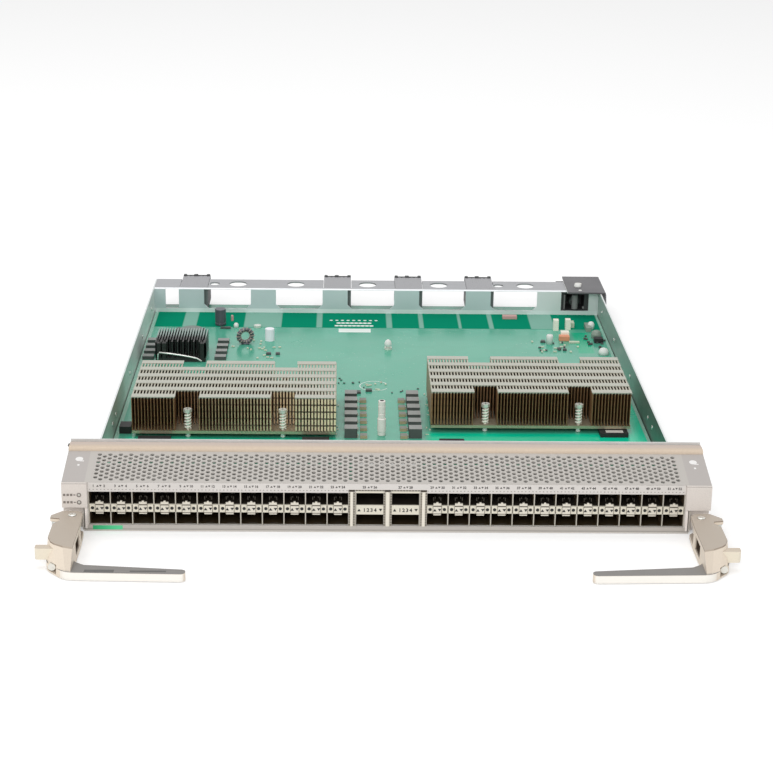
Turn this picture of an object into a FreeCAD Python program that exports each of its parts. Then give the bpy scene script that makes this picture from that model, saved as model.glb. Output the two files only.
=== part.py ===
import FreeCAD, Part
import math
import os
import re
import Sketcher
from FreeCAD import Placement, Rotation, Vector

# A line card of a modular switch: a folded tray carries one large board, with a port panel at the
# front, a stiffening beam with backplane connectors at the rear and an ejector lever at each corner.
# X runs to the right along the panel, Y to the rear, Z up. The origin is on the tray's underside,
# in the middle of the panel's front face.

SIZES = {
    # tray and board
    "tray_half_width": 201.5,
    "tray_front": 1.6,
    "tray_rear": 512.0,
    "tray_height": 27.0,
    "sheet": 1.2,
    "tray_floor": 1.0,
    "tray_bend": 1.0,
    "board_half_width": 199.6,
    "board_front": 3.0,
    "board_rear": 506.0,
    "board_bottom": 2.1,
    "board_top": 4.5,
    "board_corner": 3.0,
    "standoff_radius": 3.8,
    "board_hole": 1.7,
    "screw_shank": 1.5,
    "screw_head": 3.2,
    "screw_head_height": 1.8,
    # port panel
    "panel_half_width": 214.0,
    "panel_bottom": 1.05,
    "panel_fold": 34.5,
    "panel_top": 33.4,
    "panel_sheet": 1.5,
    "panel_lower_half": 199.5,
    "panel_step": 17.4,
    "aperture_bottom": 4.4,
    "aperture_top": 28.6,
    "port_pitch": 14.25,
    "port_columns": 12,
    "group_inner": 25.7,
    "group_outer": 196.7,
    "wide_port_inner": 1.8,
    "wide_port_outer": 21.7,
    # perforated slope and contact strip
    "screen_base": 34.6,
    "screen_rise": 7.9,
    "screen_run": 36.0,
    "screen_sheet": 1.0,
    "hole_radius": 4.2,
    "hole_step": 28.0,
    "hole_row": 7.4,
    "hole_columns": 14,
    "hole_rows": 4,
    "hole_margin": 7.4,
    "rail_bottom": 40.5,
    "rail_sheet": 1.0,
    "rail_rear": 49.5,
    "rail_top": 46.4,
    "rail_skirt": 30.0,
    "gasket_front": 36.35,
    "gasket_rear": 48.4,
    "gasket_top": 45.2,
    "gasket_wall": 0.7,
    # port cages
    "cage_sheet": 0.5,
    "divider": 0.7,
    "cage_rear": 48.0,
    "wide_cage_rear": 70.0,
    "separator_bottom": 13.8,
    "separator_top": 19.1,
    "connector_depth": 8.0,
    "connector_half": 4.6,
    "wide_connector_half": 7.5,
    "latch_half": 3.4,
    "latch_sheet": 0.7,
    # rear beam and connectors
    "beam_half_width": 200.2,
    "beam_front": 482.0,
    "beam_rear": 512.0,
    "beam_top": 27.0,
    "beam_bend": 0.9,
    "beam_strip": 8.2,
    "beam_lip": 3.0,
    "window_half": 21.0,
    "window_pitch": 64.6,
    "window_first": 134.7,
    "window_gusset": 4.0,
    "access_hole": 8.0,
    "small_access_hole": 4.6,
    "access_row": 497.0,
    "station_first": 165.0,
    "plug_half_width": 12.3,
    "plug_front": 486.4,
    "plug_rear": 526.0,
    "plug_top": 26.7,
    "plug_gap": 0.4,
    "plug_groove": 1.6,
    "plug_groove_depth": 0.7,
    "plug_pitch": 3.8,
    "plug_ribs": 6,
    "guide_left": 165.0,
    "guide_right": 193.0,
    "guide_front": 486.4,
    "guide_rear": 518.0,
    "guide_cheek": 5.0,
    "guide_floor": 8.0,
    "guide_roof": 23.0,
    "guide_wall": 12.0,
    "sleeve_height": 15.5,
    "sleeve_radius": 4.5,
    "sleeve_bore": 3.1,
    "sleeve_front": 488.0,
    "sleeve_rear": 520.0,
    "cover_left": 171.5,
    "cover_right": 205.5,
    "cover_front": 472.0,
    "cover_rear": 524.5,
    "cover_sheet": 1.4,
    "cover_gap": 0.05,
    "cover_skirt": 19.0,
    # heat sinks
    "sink_left": -186.0,
    "sink_front": 161.2,
    "sink_width": 150.4,
    "sink_depth": 85.0,
    "sink_bottom": 8.2,
    "sink_base": 2.2,
    "fin_top": 36.4,
    "fin": 0.5,
    "fin_count": 40,
    "fin_foot": 0.5,
    "strip": 0.6,
    "strip_width": 7.0,
    "notch_depth": 15.2,
    "notch_half": 8.9,
    "notch_first": 41.1,
    "notch_second": 111.5,
    "sink_screw_inset": 4.2,
    "sink_screw_top": 24.0,
    "spring_radius": 2.6,
    "spring_bore": 1.9,
    "sink_shift_across": 222.0,
    "sink_shift_back": 15.5,
    "chip_half": 25.0,
    # ejector levers, given for the left one
    "pivot_across": 205.8,
    "pivot_front": 12.5,
    "pin_radius": 2.2,
    "pin_clearance": 0.05,
    "ear_half": 5.0,
    "ear_bottom": 6.0,
    "ear_top": 12.0,
    "lever_bottom": 0.3,
    "lever_foot": 3.3,
    "bar_top": 5.5,
    "lever_deck": 14.0,
    "lever_top": 16.5,
    "lever_outer": 216.5,
    "lever_inner": 198.8,
    "lever_wall_rear": 26.0,
    "bar_tip": 127.5,
    "bar_rear": 72.2,
    "bar_front": 79.3,
    "button_outer": 223.4,
    "button_inner": 207.5,
    "button_rear": 53.6,
    "button_front": 59.8,
    "button_bottom": 6.2,
    "button_top": 13.8,
    "button_play": 0.1,
    "channel_end": 200.5,
    "latch_screw_across": 211.8,
    "latch_screw_height": 4.2,
    "latch_screw_radius": 2.4,
}

doc = FreeCAD.newDocument("line_card")
sheet = doc.addObject("Spreadsheet::Sheet", "sizes")
for row, (alias, value) in enumerate(SIZES.items(), 1):
    sheet.set(f"A{row}", alias)
    sheet.set(f"B{row}", str(value))
    sheet.setAlias(f"B{row}", alias)
doc.recompute()

SPIN = {
    "x": Rotation(Vector(0, 1, 0), 90),
    "y": Rotation(Vector(1, 0, 0), -90),
    "z": Rotation(),
}
ROLES = {"x": "YZ_Plane", "y": "XZ_Plane", "z": "XY_Plane"}
parts = []


def formula(text):
    """The expression with every size name pointed at the sheet."""
    return re.sub(
        r"[a-z_]+",
        lambda word: "sizes." + word.group() if word.group() in SIZES else word.group(),
        str(text),
    )


def bind(thing, path, text):
    thing.setExpression(path, formula(text))


def keep(thing, name):
    """Marks a finished sub-part and gives it the name of its file."""
    thing.Label = name
    parts.append(thing)
    return thing


# Primitives and booleans


def block(name, x, y, z):
    """Box between two limits along each axis."""
    box = doc.addObject("Part::Box", name)
    for side, axis, limits in zip(("Length", "Width", "Height"), "xyz", (x, y, z)):
        bind(box, "Placement.Base." + axis, limits[0])
        bind(box, side, f"({limits[1]}) - ({limits[0]})")
    return box


def rod(name, axis, radius, low, high, centre):
    """Cylinder along an axis, centred on the two other coordinates."""
    cylinder = doc.addObject("Part::Cylinder", name)
    cylinder.Placement = Placement(Vector(), SPIN[axis])
    bind(cylinder, "Radius", radius)
    bind(cylinder, "Height", f"({high}) - ({low})")
    spots = list(centre)
    for letter in "xyz":
        bind(cylinder, "Placement.Base." + letter, low if letter == axis else spots.pop(0))
    return cylinder


def prism(name, sides, radius, low, high, centre, axis="z"):
    """Prism along an axis with a regular outline inside the given radius."""
    solid = doc.addObject("Part::Prism", name)
    solid.Polygon = sides
    solid.Placement = Placement(Vector(), SPIN[axis])
    bind(solid, "Circumradius", radius)
    bind(solid, "Height", f"({high}) - ({low})")
    spots = list(centre)
    for letter in "xyz":
        bind(solid, "Placement.Base." + letter, low if letter == axis else spots.pop(0))
    return solid


def screw(name, low, seat, height, centre, sides=12):
    """Screw with a plain shank and a low head resting on its seat."""
    shank = prism(name + "_shank", 6, "screw_shank", low, seat, centre)
    head = prism(name + "_head", sides, "screw_head", seat, f"{seat} + {height}", centre)
    return fuse(name, shank, head)


def drilled(name, base, label, holes):
    """Cuts many-sided holes through a piece; each is its sides, radius, two levels and centre."""
    tools = [prism(f"{name}_hole{n}", *hole) for n, hole in enumerate(holes)]
    return keep(cut(name, base, *tools), label)


def fuse(name, *things):
    joined = doc.addObject("Part::MultiFuse", name)
    joined.Shapes = list(things)
    return joined


def cut(name, base, *tools):
    result = doc.addObject("Part::Cut", name)
    result.Base = base
    result.Tool = tools[0] if len(tools) == 1 else group(name + "_tools", tools)
    return result


def group(name, things):
    compound = doc.addObject("Part::Compound", name)
    compound.Links = list(things)
    return compound


def mirrored(name, source):
    """The right-hand piece as the mirror image of the left-hand one."""
    mirror = doc.addObject("Part::Mirroring", name)
    mirror.Source = source
    mirror.Normal = Vector(1, 0, 0)
    return keep(mirror, name)


def shifted(name, source, across, back="0"):
    copy = group(name, [source])
    bind(copy, "Placement.Base.x", across)
    bind(copy, "Placement.Base.y", back)
    return keep(copy, name)


# Sketched features


def new_body(name):
    return doc.addObject("PartDesign::Body", name)


def sketch_on(body, name, axis, level):
    """Sketch square to an axis: X and Z drive a face across the tray, Y and Z one along it."""
    sketch = body.newObject("Sketcher::SketchObject", name)
    plane = next(item for item in body.Origin.OriginFeatures if item.Role == ROLES[axis])
    sketch.AttachmentSupport = [(plane, "")]
    sketch.MapMode = "FlatFace"
    bind(sketch, "AttachmentOffset.Base.z", f"-({level})" if axis == "y" else level)
    return sketch


def hold(sketch, kind, items, text):
    """A dimension that follows the sheet."""
    index = sketch.addConstraint(Sketcher.Constraint(kind, *items, 1.0))
    bind(sketch, f"Constraints[{index}]", text)


def outline(sketch, corners):
    """Closed outline through corners, each held by its two distances from the origin."""
    count = len(corners)
    first = sketch.GeometryCount
    turn = 2 * math.pi / count
    rough = [Vector(math.cos(turn * n), math.sin(turn * n), 0) for n in range(count)]
    for n in range(count):
        sketch.addGeometry(Part.LineSegment(rough[n], rough[(n + 1) % count]))
    for n in range(count):
        follower = first + (n + 1) % count
        sketch.addConstraint(Sketcher.Constraint("Coincident", first + n, 2, follower, 1))
    for n, (across, up) in enumerate(corners):
        hold(sketch, "DistanceX", (-1, 1, first + n, 1), across)
        hold(sketch, "DistanceY", (-1, 1, first + n, 1), up)


def rectangle(sketch, x, y):
    outline(sketch, [(x[0], y[0]), (x[1], y[0]), (x[1], y[1]), (x[0], y[1])])


def circle(sketch, across, up, radius):
    index = sketch.addGeometry(Part.Circle(Vector(1, 1, 0), Vector(0, 0, 1), 1))
    hold(sketch, "DistanceX", (-1, 1, index, 3), across)
    hold(sketch, "DistanceY", (-1, 1, index, 3), up)
    hold(sketch, "Radius", (index,), radius)


def pad(body, name, axis, low, high, draw):
    """Adds material between two levels along an axis, in the outline that draw makes."""
    sketch = sketch_on(body, name + "_sketch", axis, low)
    draw(sketch)
    feature = body.newObject("PartDesign::Pad", name)
    feature.Profile = sketch
    feature.Reversed = axis == "y"
    bind(feature, "Length", f"({high}) - ({low})")
    return feature


def pocket(body, name, axis, low, high, draw):
    """Removes material between two levels along an axis."""
    doc.recompute()
    before = body.Shape.Volume
    sketch = sketch_on(body, name + "_sketch", axis, low if axis == "y" else high)
    draw(sketch)
    feature = body.newObject("PartDesign::Pocket", name)
    feature.Profile = sketch
    bind(feature, "Length", f"({high}) - ({low})")
    doc.recompute()
    if not body.Shape.Volume < before - 0.01:
        raise RuntimeError(name + " removes nothing")
    return feature


def pattern(body, feature, name, direction, length, count):
    """Repeats a feature along a sketch axis."""
    row = body.newObject("PartDesign::LinearPattern", name)
    row.Originals = [feature]
    row.Direction = (feature.Profile[0], [direction])
    bind(row, "Length", length)
    bind(row, "Occurrences", count)
    body.Tip = row
    return row


def along(edge, axis):
    """Whether a straight edge runs along an axis."""
    run = edge.Vertexes[-1].Point - edge.Vertexes[0].Point
    return len(edge.Vertexes) == 2 and abs(abs(getattr(run, axis)) - run.Length) < 1e-6


def soften(body, name, radius, axis, spots, near=0.05):
    """Rounds the edges that run along an axis through the given spots."""
    doc.recompute()
    base = body.Tip
    across = [letter for letter in "xyz" if letter != axis]
    picked = []
    for number, edge in enumerate(base.Shape.Edges, 1):
        if not along(edge, axis):
            continue
        start = edge.Vertexes[0].Point
        place = [getattr(start, letter) for letter in across]
        if any(math.dist(place, spot) < near for spot in spots):
            picked.append(f"Edge{number}")
    if not picked:
        raise RuntimeError(name + " finds no edge")
    fillet = body.newObject("PartDesign::Fillet", name)
    fillet.Base = (base, picked)
    bind(fillet, "Radius", radius)
    return fillet


# Tray and board


def make_tray():
    """Sheet folded up along both sides, with its corners rounded by the bend."""
    tray = new_body("tray")
    inner = "tray_half_width - sheet"

    def channel(sketch):
        outline(sketch, [
            ("-tray_half_width", "0"),
            ("tray_half_width", "0"),
            ("tray_half_width", "tray_height"),
            (inner, "tray_height"),
            (inner, "tray_floor"),
            (f"-({inner})", "tray_floor"),
            (f"-({inner})", "tray_height"),
            ("-tray_half_width", "tray_height"),
        ])

    pad(tray, "channel", "y", "tray_front", "tray_rear", channel)
    width = SIZES["tray_half_width"]
    soften(tray, "tray_bends", "tray_bend", "y", [(-width, 0), (width, 0)])
    lip = ("sheet - tray_half_width", "tray_half_width - sheet")
    pad(
        tray, "front_lip", "z", "0", "tray_floor",
        lambda sketch: rectangle(sketch, lip, ("0", "tray_front + 1")),
    )
    keep(tray, "chassis_tray")


COVER_SCREW = ("cover_left + 11.3", "guide_front + 8.1")
BOARD_SCREWS = (
    (-105.8, 438.0),
    (8.0, 378.0),
    (-70.0, 120.0),
    (70.0, 120.0),
)


def make_board():
    """Board with a clearance hole at every screw."""
    board = new_body("board")
    half = "board_half_width"
    pad(
        board, "laminate", "z", "board_bottom", "board_top",
        lambda sketch: rectangle(sketch, (f"-{half}", half), ("board_front", "board_rear")),
    )
    side = SIZES["board_half_width"]
    corners = [(x, y) for x in (-side, side) for y in (SIZES["board_front"], SIZES["board_rear"])]
    soften(board, "board_corners", "board_corner", "z", corners)
    depth = ("board_bottom - 1", "board_top + 1")
    holes = [(12, "board_hole", *depth, spot) for spot in BOARD_SCREWS]
    drilled("drilled_board", board, "main_circuit_board", holes)


def make_board_fixings():
    """Hexagonal spacers under the board and the screws into them, one more in the guide cover."""
    spacers = []
    screws = []
    for n, spot in enumerate(BOARD_SCREWS):
        spacers.append(prism(f"spacer{n}", 6, "standoff_radius", "tray_floor", "board_bottom", spot))
        screws.append(screw(f"screw{n}", "board_bottom", "board_top", "screw_head_height", spot))
    top = "beam_top + cover_gap + cover_sheet"
    screws.append(screw("cover_screw", "guide_roof", top, "screw_head_height", COVER_SCREW))
    keep(group("spacers", spacers), "board_standoffs")
    keep(group("screws", screws), "pan_head_screws")


# Port panel


def make_faceplate():
    """Front plate with one aperture for each group of small ports and one for each wide column."""
    plate = new_body("plate")

    def face(sketch):
        outline(sketch, [
            ("-panel_lower_half", "panel_bottom"),
            ("panel_lower_half", "panel_bottom"),
            ("panel_lower_half", "panel_step"),
            ("panel_half_width - sheet", "panel_step"),
            ("panel_half_width - sheet", "panel_top"),
            ("sheet - panel_half_width", "panel_top"),
            ("sheet - panel_half_width", "panel_step"),
            ("-panel_lower_half", "panel_step"),
        ])

    pad(plate, "face", "y", "0", "panel_sheet", face)

    def apertures(sketch):
        height = ("aperture_bottom", "aperture_top")
        inner = "group_inner - divider / 2"
        outer = "group_outer + divider / 2"
        rectangle(sketch, (f"-({outer})", f"-({inner})"), height)
        rectangle(sketch, ("-wide_port_outer", "-wide_port_inner"), height)
        rectangle(sketch, ("wide_port_inner", "wide_port_outer"), height)
        rectangle(sketch, (inner, outer), height)

    pocket(plate, "apertures", "y", "0", "panel_sheet", apertures)
    keep(plate, "faceplate")


def make_screen():
    """Air inlet: a sloped sheet with a staggered field of hexagonal holes and plain ends."""
    value = sheet.get
    slope = math.atan2(value("screen_rise"), value("screen_run"))
    length = math.hypot(value("screen_rise"), value("screen_run"))
    half = value("panel_half_width")
    thick = value("screen_sheet")
    plate = Part.makeBox(2 * half, length, thick, Vector(-half, 0, -thick))
    radius = value("hole_radius")
    corners = [
        Vector(radius * math.cos(n * math.pi / 3), radius * math.sin(n * math.pi / 3), -1.5 * thick)
        for n in range(6)
    ]
    cell = Part.Face(Part.makePolygon(corners + corners[:1])).extrude(Vector(0, 0, 2 * thick))
    columns = int(value("hole_columns"))
    start = -value("hole_step") * (columns - 1) / 2
    cells = []
    for row in range(int(value("hole_rows"))):
        shift = value("hole_step") / 2 if row % 2 else 0
        for column in range(columns - row % 2):
            hole = cell.copy()
            across = start + shift + column * value("hole_step")
            hole.translate(Vector(across, value("hole_margin") + row * value("hole_row"), 0))
            cells.append(hole)
    screen = doc.addObject("Part::Feature", "screen")
    screen.Shape = plate.cut(Part.makeCompound(cells))
    turned = Rotation(Vector(1, 0, 0), math.degrees(slope))
    screen.Placement = Placement(Vector(0, 0, value("screen_base")), turned)
    keep(screen, "perforated_screen")


def make_rail():
    """Shelf behind the screen with an upstand at the rear and a skirt below it."""
    rail = new_body("rail")

    def profile(sketch):
        outline(sketch, [
            ("screen_run + 0.3", "rail_bottom"),
            ("rail_rear - rail_sheet", "rail_bottom"),
            ("rail_rear - rail_sheet", "rail_skirt"),
            ("rail_rear", "rail_skirt"),
            ("rail_rear", "rail_top"),
            ("rail_rear - rail_sheet", "rail_top"),
            ("rail_rear - rail_sheet", "rail_bottom + rail_sheet"),
            ("screen_run + 0.3", "rail_bottom + rail_sheet"),
        ])

    pad(rail, "rail_profile", "x", "-panel_half_width", "panel_half_width", profile)
    keep(rail, "gasket_rail")


def make_gasket():
    """Hollow contact strip with a rounded crown, open at both ends."""
    gasket = new_body("gasket")
    low = "rail_bottom + rail_sheet"

    def profile(sketch):
        outline(sketch, [
            ("gasket_front", low),
            ("gasket_rear", low),
            ("gasket_rear", "gasket_top"),
            ("gasket_front", "gasket_top"),
        ])

    pad(gasket, "gasket_solid", "x", "-panel_half_width", "panel_half_width", profile)
    top = SIZES["gasket_top"]
    edges = [(SIZES["gasket_front"], top), (SIZES["gasket_rear"], top)]
    soften(gasket, "gasket_crown", "2.2", "x", edges)

    def hollow(sketch):
        rectangle(
            sketch,
            ("gasket_front + gasket_wall", "gasket_rear - gasket_wall"),
            (f"{low} + gasket_wall", "gasket_top - gasket_wall - 0.4"),
        )

    pocket(gasket, "gasket_hollow", "x", "-panel_half_width", "panel_half_width", hollow)
    keep(gasket, "emi_gasket")


def make_end_bracket():
    """End of the panel: front cap, side plate under the slope and the ear that carries the lever."""
    bracket = new_body("bracket")
    outer = "-panel_half_width"
    inside = "sheet - panel_half_width"
    wall = "-tray_half_width - 0.1"
    under = "(screen_base - screen_sheet - 0.13)"

    def side(sketch):
        outline(sketch, [
            ("0", "panel_step"),
            ("4", "panel_step"),
            ("4", "panel_bottom"),
            ("rail_rear - rail_sheet", "panel_bottom"),
            ("rail_rear - rail_sheet", "rail_bottom - 0.05"),
            (f"(rail_bottom - 0.05 - {under}) * screen_run / screen_rise", "rail_bottom - 0.05"),
            ("0", under),
        ])

    pad(bracket, "side_plate", "x", outer, inside, side)
    pad(
        bracket, "front_cap", "y", "-2", "0",
        lambda sketch: rectangle(sketch, (outer, "-group_outer - divider"), ("panel_step", "panel_fold")),
    )
    pad(
        bracket, "lower_plate", "y", "4", "5.5",
        lambda sketch: rectangle(sketch, (outer, wall), ("panel_bottom", "panel_step")),
    )
    ear = ("-pivot_across - ear_half", "-pivot_across + ear_half - 1")
    pad(
        bracket, "ear_arm", "z", "ear_bottom", "ear_top",
        lambda sketch: rectangle(sketch, ear, ("-pivot_front", "4")),
    )
    pad(
        bracket, "ear_eye", "z", "ear_bottom", "ear_top",
        lambda sketch: circle(sketch, "-pivot_across", "-pivot_front", "ear_half"),
    )
    pocket(
        bracket, "ear_bore", "z", "ear_bottom", "ear_top",
        lambda sketch: circle(sketch, "-pivot_across", "-pivot_front", "pin_radius + 0.02"),
    )
    keep(bracket, "left_end_bracket")
    mirrored("right_end_bracket", bracket)


# Port cages


def cage_shell(name, x, rear):
    """Sheet folded over, behind and under a group of cages."""
    shell = new_body(name)

    def profile(sketch):
        outline(sketch, [
            ("tray_front", "board_top"),
            (rear, "board_top"),
            (rear, "aperture_top + cage_sheet"),
            ("tray_front", "aperture_top + cage_sheet"),
            ("tray_front", "aperture_top"),
            (f"{rear} - cage_sheet", "aperture_top"),
            (f"{rear} - cage_sheet", "board_top + cage_sheet"),
            ("tray_front", "board_top + cage_sheet"),
        ])

    pad(shell, name + "_fold", "x", x[0], x[1], profile)
    return shell


def row_of(name, width, y, z, count, first):
    """Equal blocks at the port pitch, standing side by side."""
    row = new_body(name)
    piece = pad(
        row, name + "_piece", "z", z[0], z[1],
        lambda sketch: rectangle(sketch, (first, f"{first} + {width}"), y),
    )
    pattern(row, piece, name + "_row", "H_Axis", f"port_pitch * ({count} - 1)", count)
    return row


def make_small_port_cages():
    """Two groups of twelve columns, each column with an upper and a lower port."""
    floor = "board_top + cage_sheet"
    back = "cage_rear - cage_sheet"
    sides = ("-group_outer - divider / 2", "divider / 2 - group_inner")
    shell = cage_shell("cage", sides, "cage_rear")
    keep(shell, "left_cage_shell")
    dividers = row_of(
        "cage_walls", "divider", ("0.2", back), (floor, "aperture_top"),
        "(port_columns + 1)", "-group_outer - divider / 2",
    )
    gap = "(port_pitch - divider)"
    separators = row_of(
        "cage_middle", gap, ("0", f"{back} - connector_depth"),
        ("separator_bottom", "separator_top"), "port_columns", "-group_outer + divider / 2",
    )
    hosts = row_of(
        "cage_hosts", "2 * connector_half", (f"{back} - connector_depth", back),
        (f"{floor} + 1.5", "aperture_top - 2.5"), "port_columns",
        "-group_outer + port_pitch / 2 - connector_half",
    )
    keep(dividers, "left_cage_dividers")
    keep(separators, "left_port_separators")
    keep(hosts, "left_host_connectors")
    mirrored("right_cage_shell", shell)
    mirrored("right_cage_dividers", dividers)
    mirrored("right_port_separators", separators)
    mirrored("right_host_connectors", hosts)


def make_wide_port_cages():
    """Two columns of wide ports between the posts of the faceplate."""
    floor = "board_top + cage_sheet"
    back = "wide_cage_rear - cage_sheet"
    side = "wide_port_outer + 1"
    shell = cage_shell("wide_cage", (f"-({side})", side), "wide_cage_rear")
    keep(shell, "qsfp_cage_shell")
    height = (floor, "aperture_top")
    depth = ("panel_sheet", back)
    keep(group("wide_walls", [
        block("wide_wall_left", (f"-({side})", "-wide_port_outer"), depth, height),
        block("wide_wall_middle", ("-wide_port_inner", "wide_port_inner"), depth, height),
        block("wide_wall_right", ("wide_port_outer", side), depth, height),
    ]), "qsfp_cage_dividers")
    middle = ("separator_bottom", "separator_top")
    cell = "(wide_port_inner + wide_port_outer) / 2"
    hosts = ("wide_cage_rear - cage_sheet - 2 * connector_depth", back)
    keep(group("wide_middle", [
        block("wide_middle_left", ("-wide_port_outer", "-wide_port_inner"), ("0", hosts[0]), middle),
        block("wide_middle_right", ("wide_port_inner", "wide_port_outer"), ("0", hosts[0]), middle),
    ]), "qsfp_port_separators")
    stack = (f"{floor} + 1.5", "aperture_top - 2.5")
    keep(group("wide_hosts", [
        block(
            "wide_host_left",
            (f"-{cell} - wide_connector_half", f"-{cell} + wide_connector_half"), hosts, stack,
        ),
        block(
            "wide_host_right",
            (f"{cell} - wide_connector_half", f"{cell} + wide_connector_half"), hosts, stack,
        ),
    ]), "qsfp_host_connectors")


def make_port_latches():
    """Spring tabs on the middle strip, one for each column."""
    first = "-group_outer + port_pitch / 2 - latch_half"
    left = row_of(
        "latch_left", "2 * latch_half", ("-latch_sheet", "0"),
        ("separator_bottom - 0.8", "separator_top + 0.9"), "port_columns", first,
    )
    right = doc.addObject("Part::Mirroring", "latch_right")
    right.Source = left
    right.Normal = Vector(1, 0, 0)
    keep(group("latches", [left, right]), "port_latches")


# Rear beam, backplane connectors and guide block

STATIONS = (0, 2, 3, 4)
ACCESS_HOLES = (-125.8, -73.4, -8.5, 56.2, 134.9)
SMALL_ACCESS_HOLES = (-147.0, 110.5)
GUIDE_SPAN = ("guide_left - plug_gap", "guide_right + plug_gap")


def station(number):
    """Middle of a connector position on the beam."""
    return f"(window_pitch * {number} - station_first)"


def make_beam():
    """Folded sheet: a web with windows, a top with access holes and connector gaps, a rear lip."""
    beam = new_body("beam")

    def profile(sketch):
        outline(sketch, [
            ("beam_front", "board_top"),
            ("beam_front + sheet", "board_top"),
            ("beam_front + sheet", "beam_top - sheet"),
            ("beam_rear - sheet", "beam_top - sheet"),
            ("beam_rear - sheet", "beam_top - beam_lip"),
            ("beam_rear", "beam_top - beam_lip"),
            ("beam_rear", "beam_top - beam_bend"),
            ("beam_rear - beam_bend", "beam_top"),
            ("beam_front + beam_bend", "beam_top"),
            ("beam_front", "beam_top - beam_bend"),
        ])

    pad(beam, "beam_channel", "x", "-beam_half_width", "beam_half_width", profile)
    high = "beam_top - sheet"
    wall = ("beam_front", "beam_front + sheet")

    def window(sketch):
        left = "-window_first - window_half"
        right = "window_half - window_first"
        outline(sketch, [
            (f"{left} + window_gusset", "beam_strip"),
            (f"{right} - window_gusset", "beam_strip"),
            (right, "beam_strip + window_gusset"),
            (right, high),
            (left, high),
            (left, "beam_strip + window_gusset"),
        ])

    opening = pocket(beam, "window", "y", wall[0], wall[1], window)
    pattern(beam, opening, "windows", "H_Axis", "window_pitch * 4", "5")

    def end_windows(sketch):
        rectangle(sketch, ("-190.3", "-178.4"), ("beam_strip", high))
        rectangle(sketch, ("guide_left + 1.5", "guide_right - 1.5"), ("beam_strip", high))

    pocket(beam, "end_windows", "y", wall[0], wall[1], end_windows)

    reach = ("plug_front - plug_gap", "beam_rear + 1")

    def gaps(sketch):
        half = "(plug_half_width + plug_gap)"
        for number in STATIONS:
            rectangle(sketch, (f"{station(number)} - {half}", f"{station(number)} + {half}"), reach)

    pocket(beam, "connector_gaps", "z", "board_top", "beam_top", gaps)
    pocket(
        beam, "guide_gap", "z", "board_top", high,
        lambda sketch: rectangle(sketch, GUIDE_SPAN, reach),
    )
    depth = (f"{high} - 1", "beam_top + 1")
    holes = [(20, "access_hole", *depth, (across, "access_row")) for across in ACCESS_HOLES]
    for across in SMALL_ACCESS_HOLES:
        holes.append((12, "small_access_hole", *depth, (across, "access_row")))
    holes.append((12, "board_hole", *depth, COVER_SCREW))
    drilled("drilled_beam", beam, "rear_beam", holes)


def make_backplane_connectors():
    """Board connector with a ribbed top and slots in its rear face, at four of six positions."""
    plug = new_body("plug")
    middle = station(STATIONS[0])
    left = f"{middle} - plug_half_width"
    right = f"{middle} + plug_half_width"
    row = "plug_pitch * (plug_ribs - 1)"
    first = f"{middle} - {row} / 2 - plug_groove / 2"
    groove_span = (first, f"{first} + plug_groove")
    pad(
        plug, "plug_housing", "z", "board_top", "plug_top",
        lambda sketch: rectangle(sketch, (left, right), ("plug_front", "plug_rear")),
    )
    groove = pocket(
        plug, "plug_groove_cut", "z", "plug_top - plug_groove_depth", "plug_top",
        lambda sketch: rectangle(sketch, groove_span, ("plug_front + 2", "plug_rear - 2")),
    )
    pattern(plug, groove, "plug_grooves", "H_Axis", row, "plug_ribs")
    slot = pocket(
        plug, "plug_slot", "y", "plug_rear - 4", "plug_rear",
        lambda sketch: rectangle(sketch, groove_span, ("board_top + 2.5", "plug_top - 2.5")),
    )
    pattern(plug, slot, "plug_slots", "H_Axis", row, "plug_ribs")
    keep(plug, "backplane_connector_1")
    for count, number in enumerate(STATIONS[1:], 2):
        step = number - STATIONS[0]
        shifted(f"backplane_connector_{count}", plug, f"window_pitch * {step}")


def make_guide():
    """Block with the steel sleeve that takes the backplane's guide pin, under a folded cover."""
    across = "(guide_left + guide_right) / 2"
    solid = block(
        "guide_solid", ("guide_left", "guide_right"), ("guide_front", "guide_rear"),
        ("board_top", "beam_top - sheet - 0.05"),
    )
    recess = block(
        "guide_recess", ("guide_left + guide_cheek", "guide_right - guide_cheek"),
        ("guide_front - 1", "guide_rear - guide_wall"), ("guide_floor", "guide_roof"),
    )
    seat = rod(
        "guide_seat", "y", "sleeve_radius + 0.02", "guide_front", "guide_rear + 1",
        (across, "sleeve_height"),
    )
    tapped = prism("guide_tap", 6, "screw_shank + 0.05", "guide_floor", "beam_top + 1", COVER_SCREW)
    keep(cut("guide", solid, recess, seat, tapped), "guide_block")
    centre = (across, "sleeve_height")
    outside = rod("sleeve_wall", "y", "sleeve_radius", "sleeve_front", "sleeve_rear", centre)
    inside = rod("sleeve_hole", "y", "sleeve_bore", "sleeve_front", "sleeve_rear", centre)
    keep(cut("sleeve", outside, inside), "guide_sleeve")

    cover = new_body("cover")
    low = "beam_top + cover_gap"
    pad(
        cover, "cover_plate", "z", low, f"{low} + cover_sheet",
        lambda sketch: rectangle(sketch, ("cover_left", "cover_right"), ("cover_front", "cover_rear")),
    )
    pad(
        cover, "cover_fold", "x", "cover_right - cover_sheet", "cover_right",
        lambda sketch: outline(sketch, [
            ("cover_front - 6", "cover_skirt"),
            ("cover_front + 28", "cover_skirt"),
            ("cover_front + 36", low),
            ("cover_front - 2", low),
        ]),
    )
    edge = SIZES["cover_right"]
    height = SIZES["beam_top"] + SIZES["cover_gap"] + SIZES["cover_sheet"]
    soften(cover, "cover_bend", "1.2", "y", [(edge, height)])
    hole = (12, "board_hole", "beam_top", "beam_top + 2 * cover_sheet", COVER_SCREW)
    drilled("drilled_cover", cover, "guide_cover", [hole])


# Heat sinks

NOTCHES = ("notch_first", "notch_second")


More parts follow.
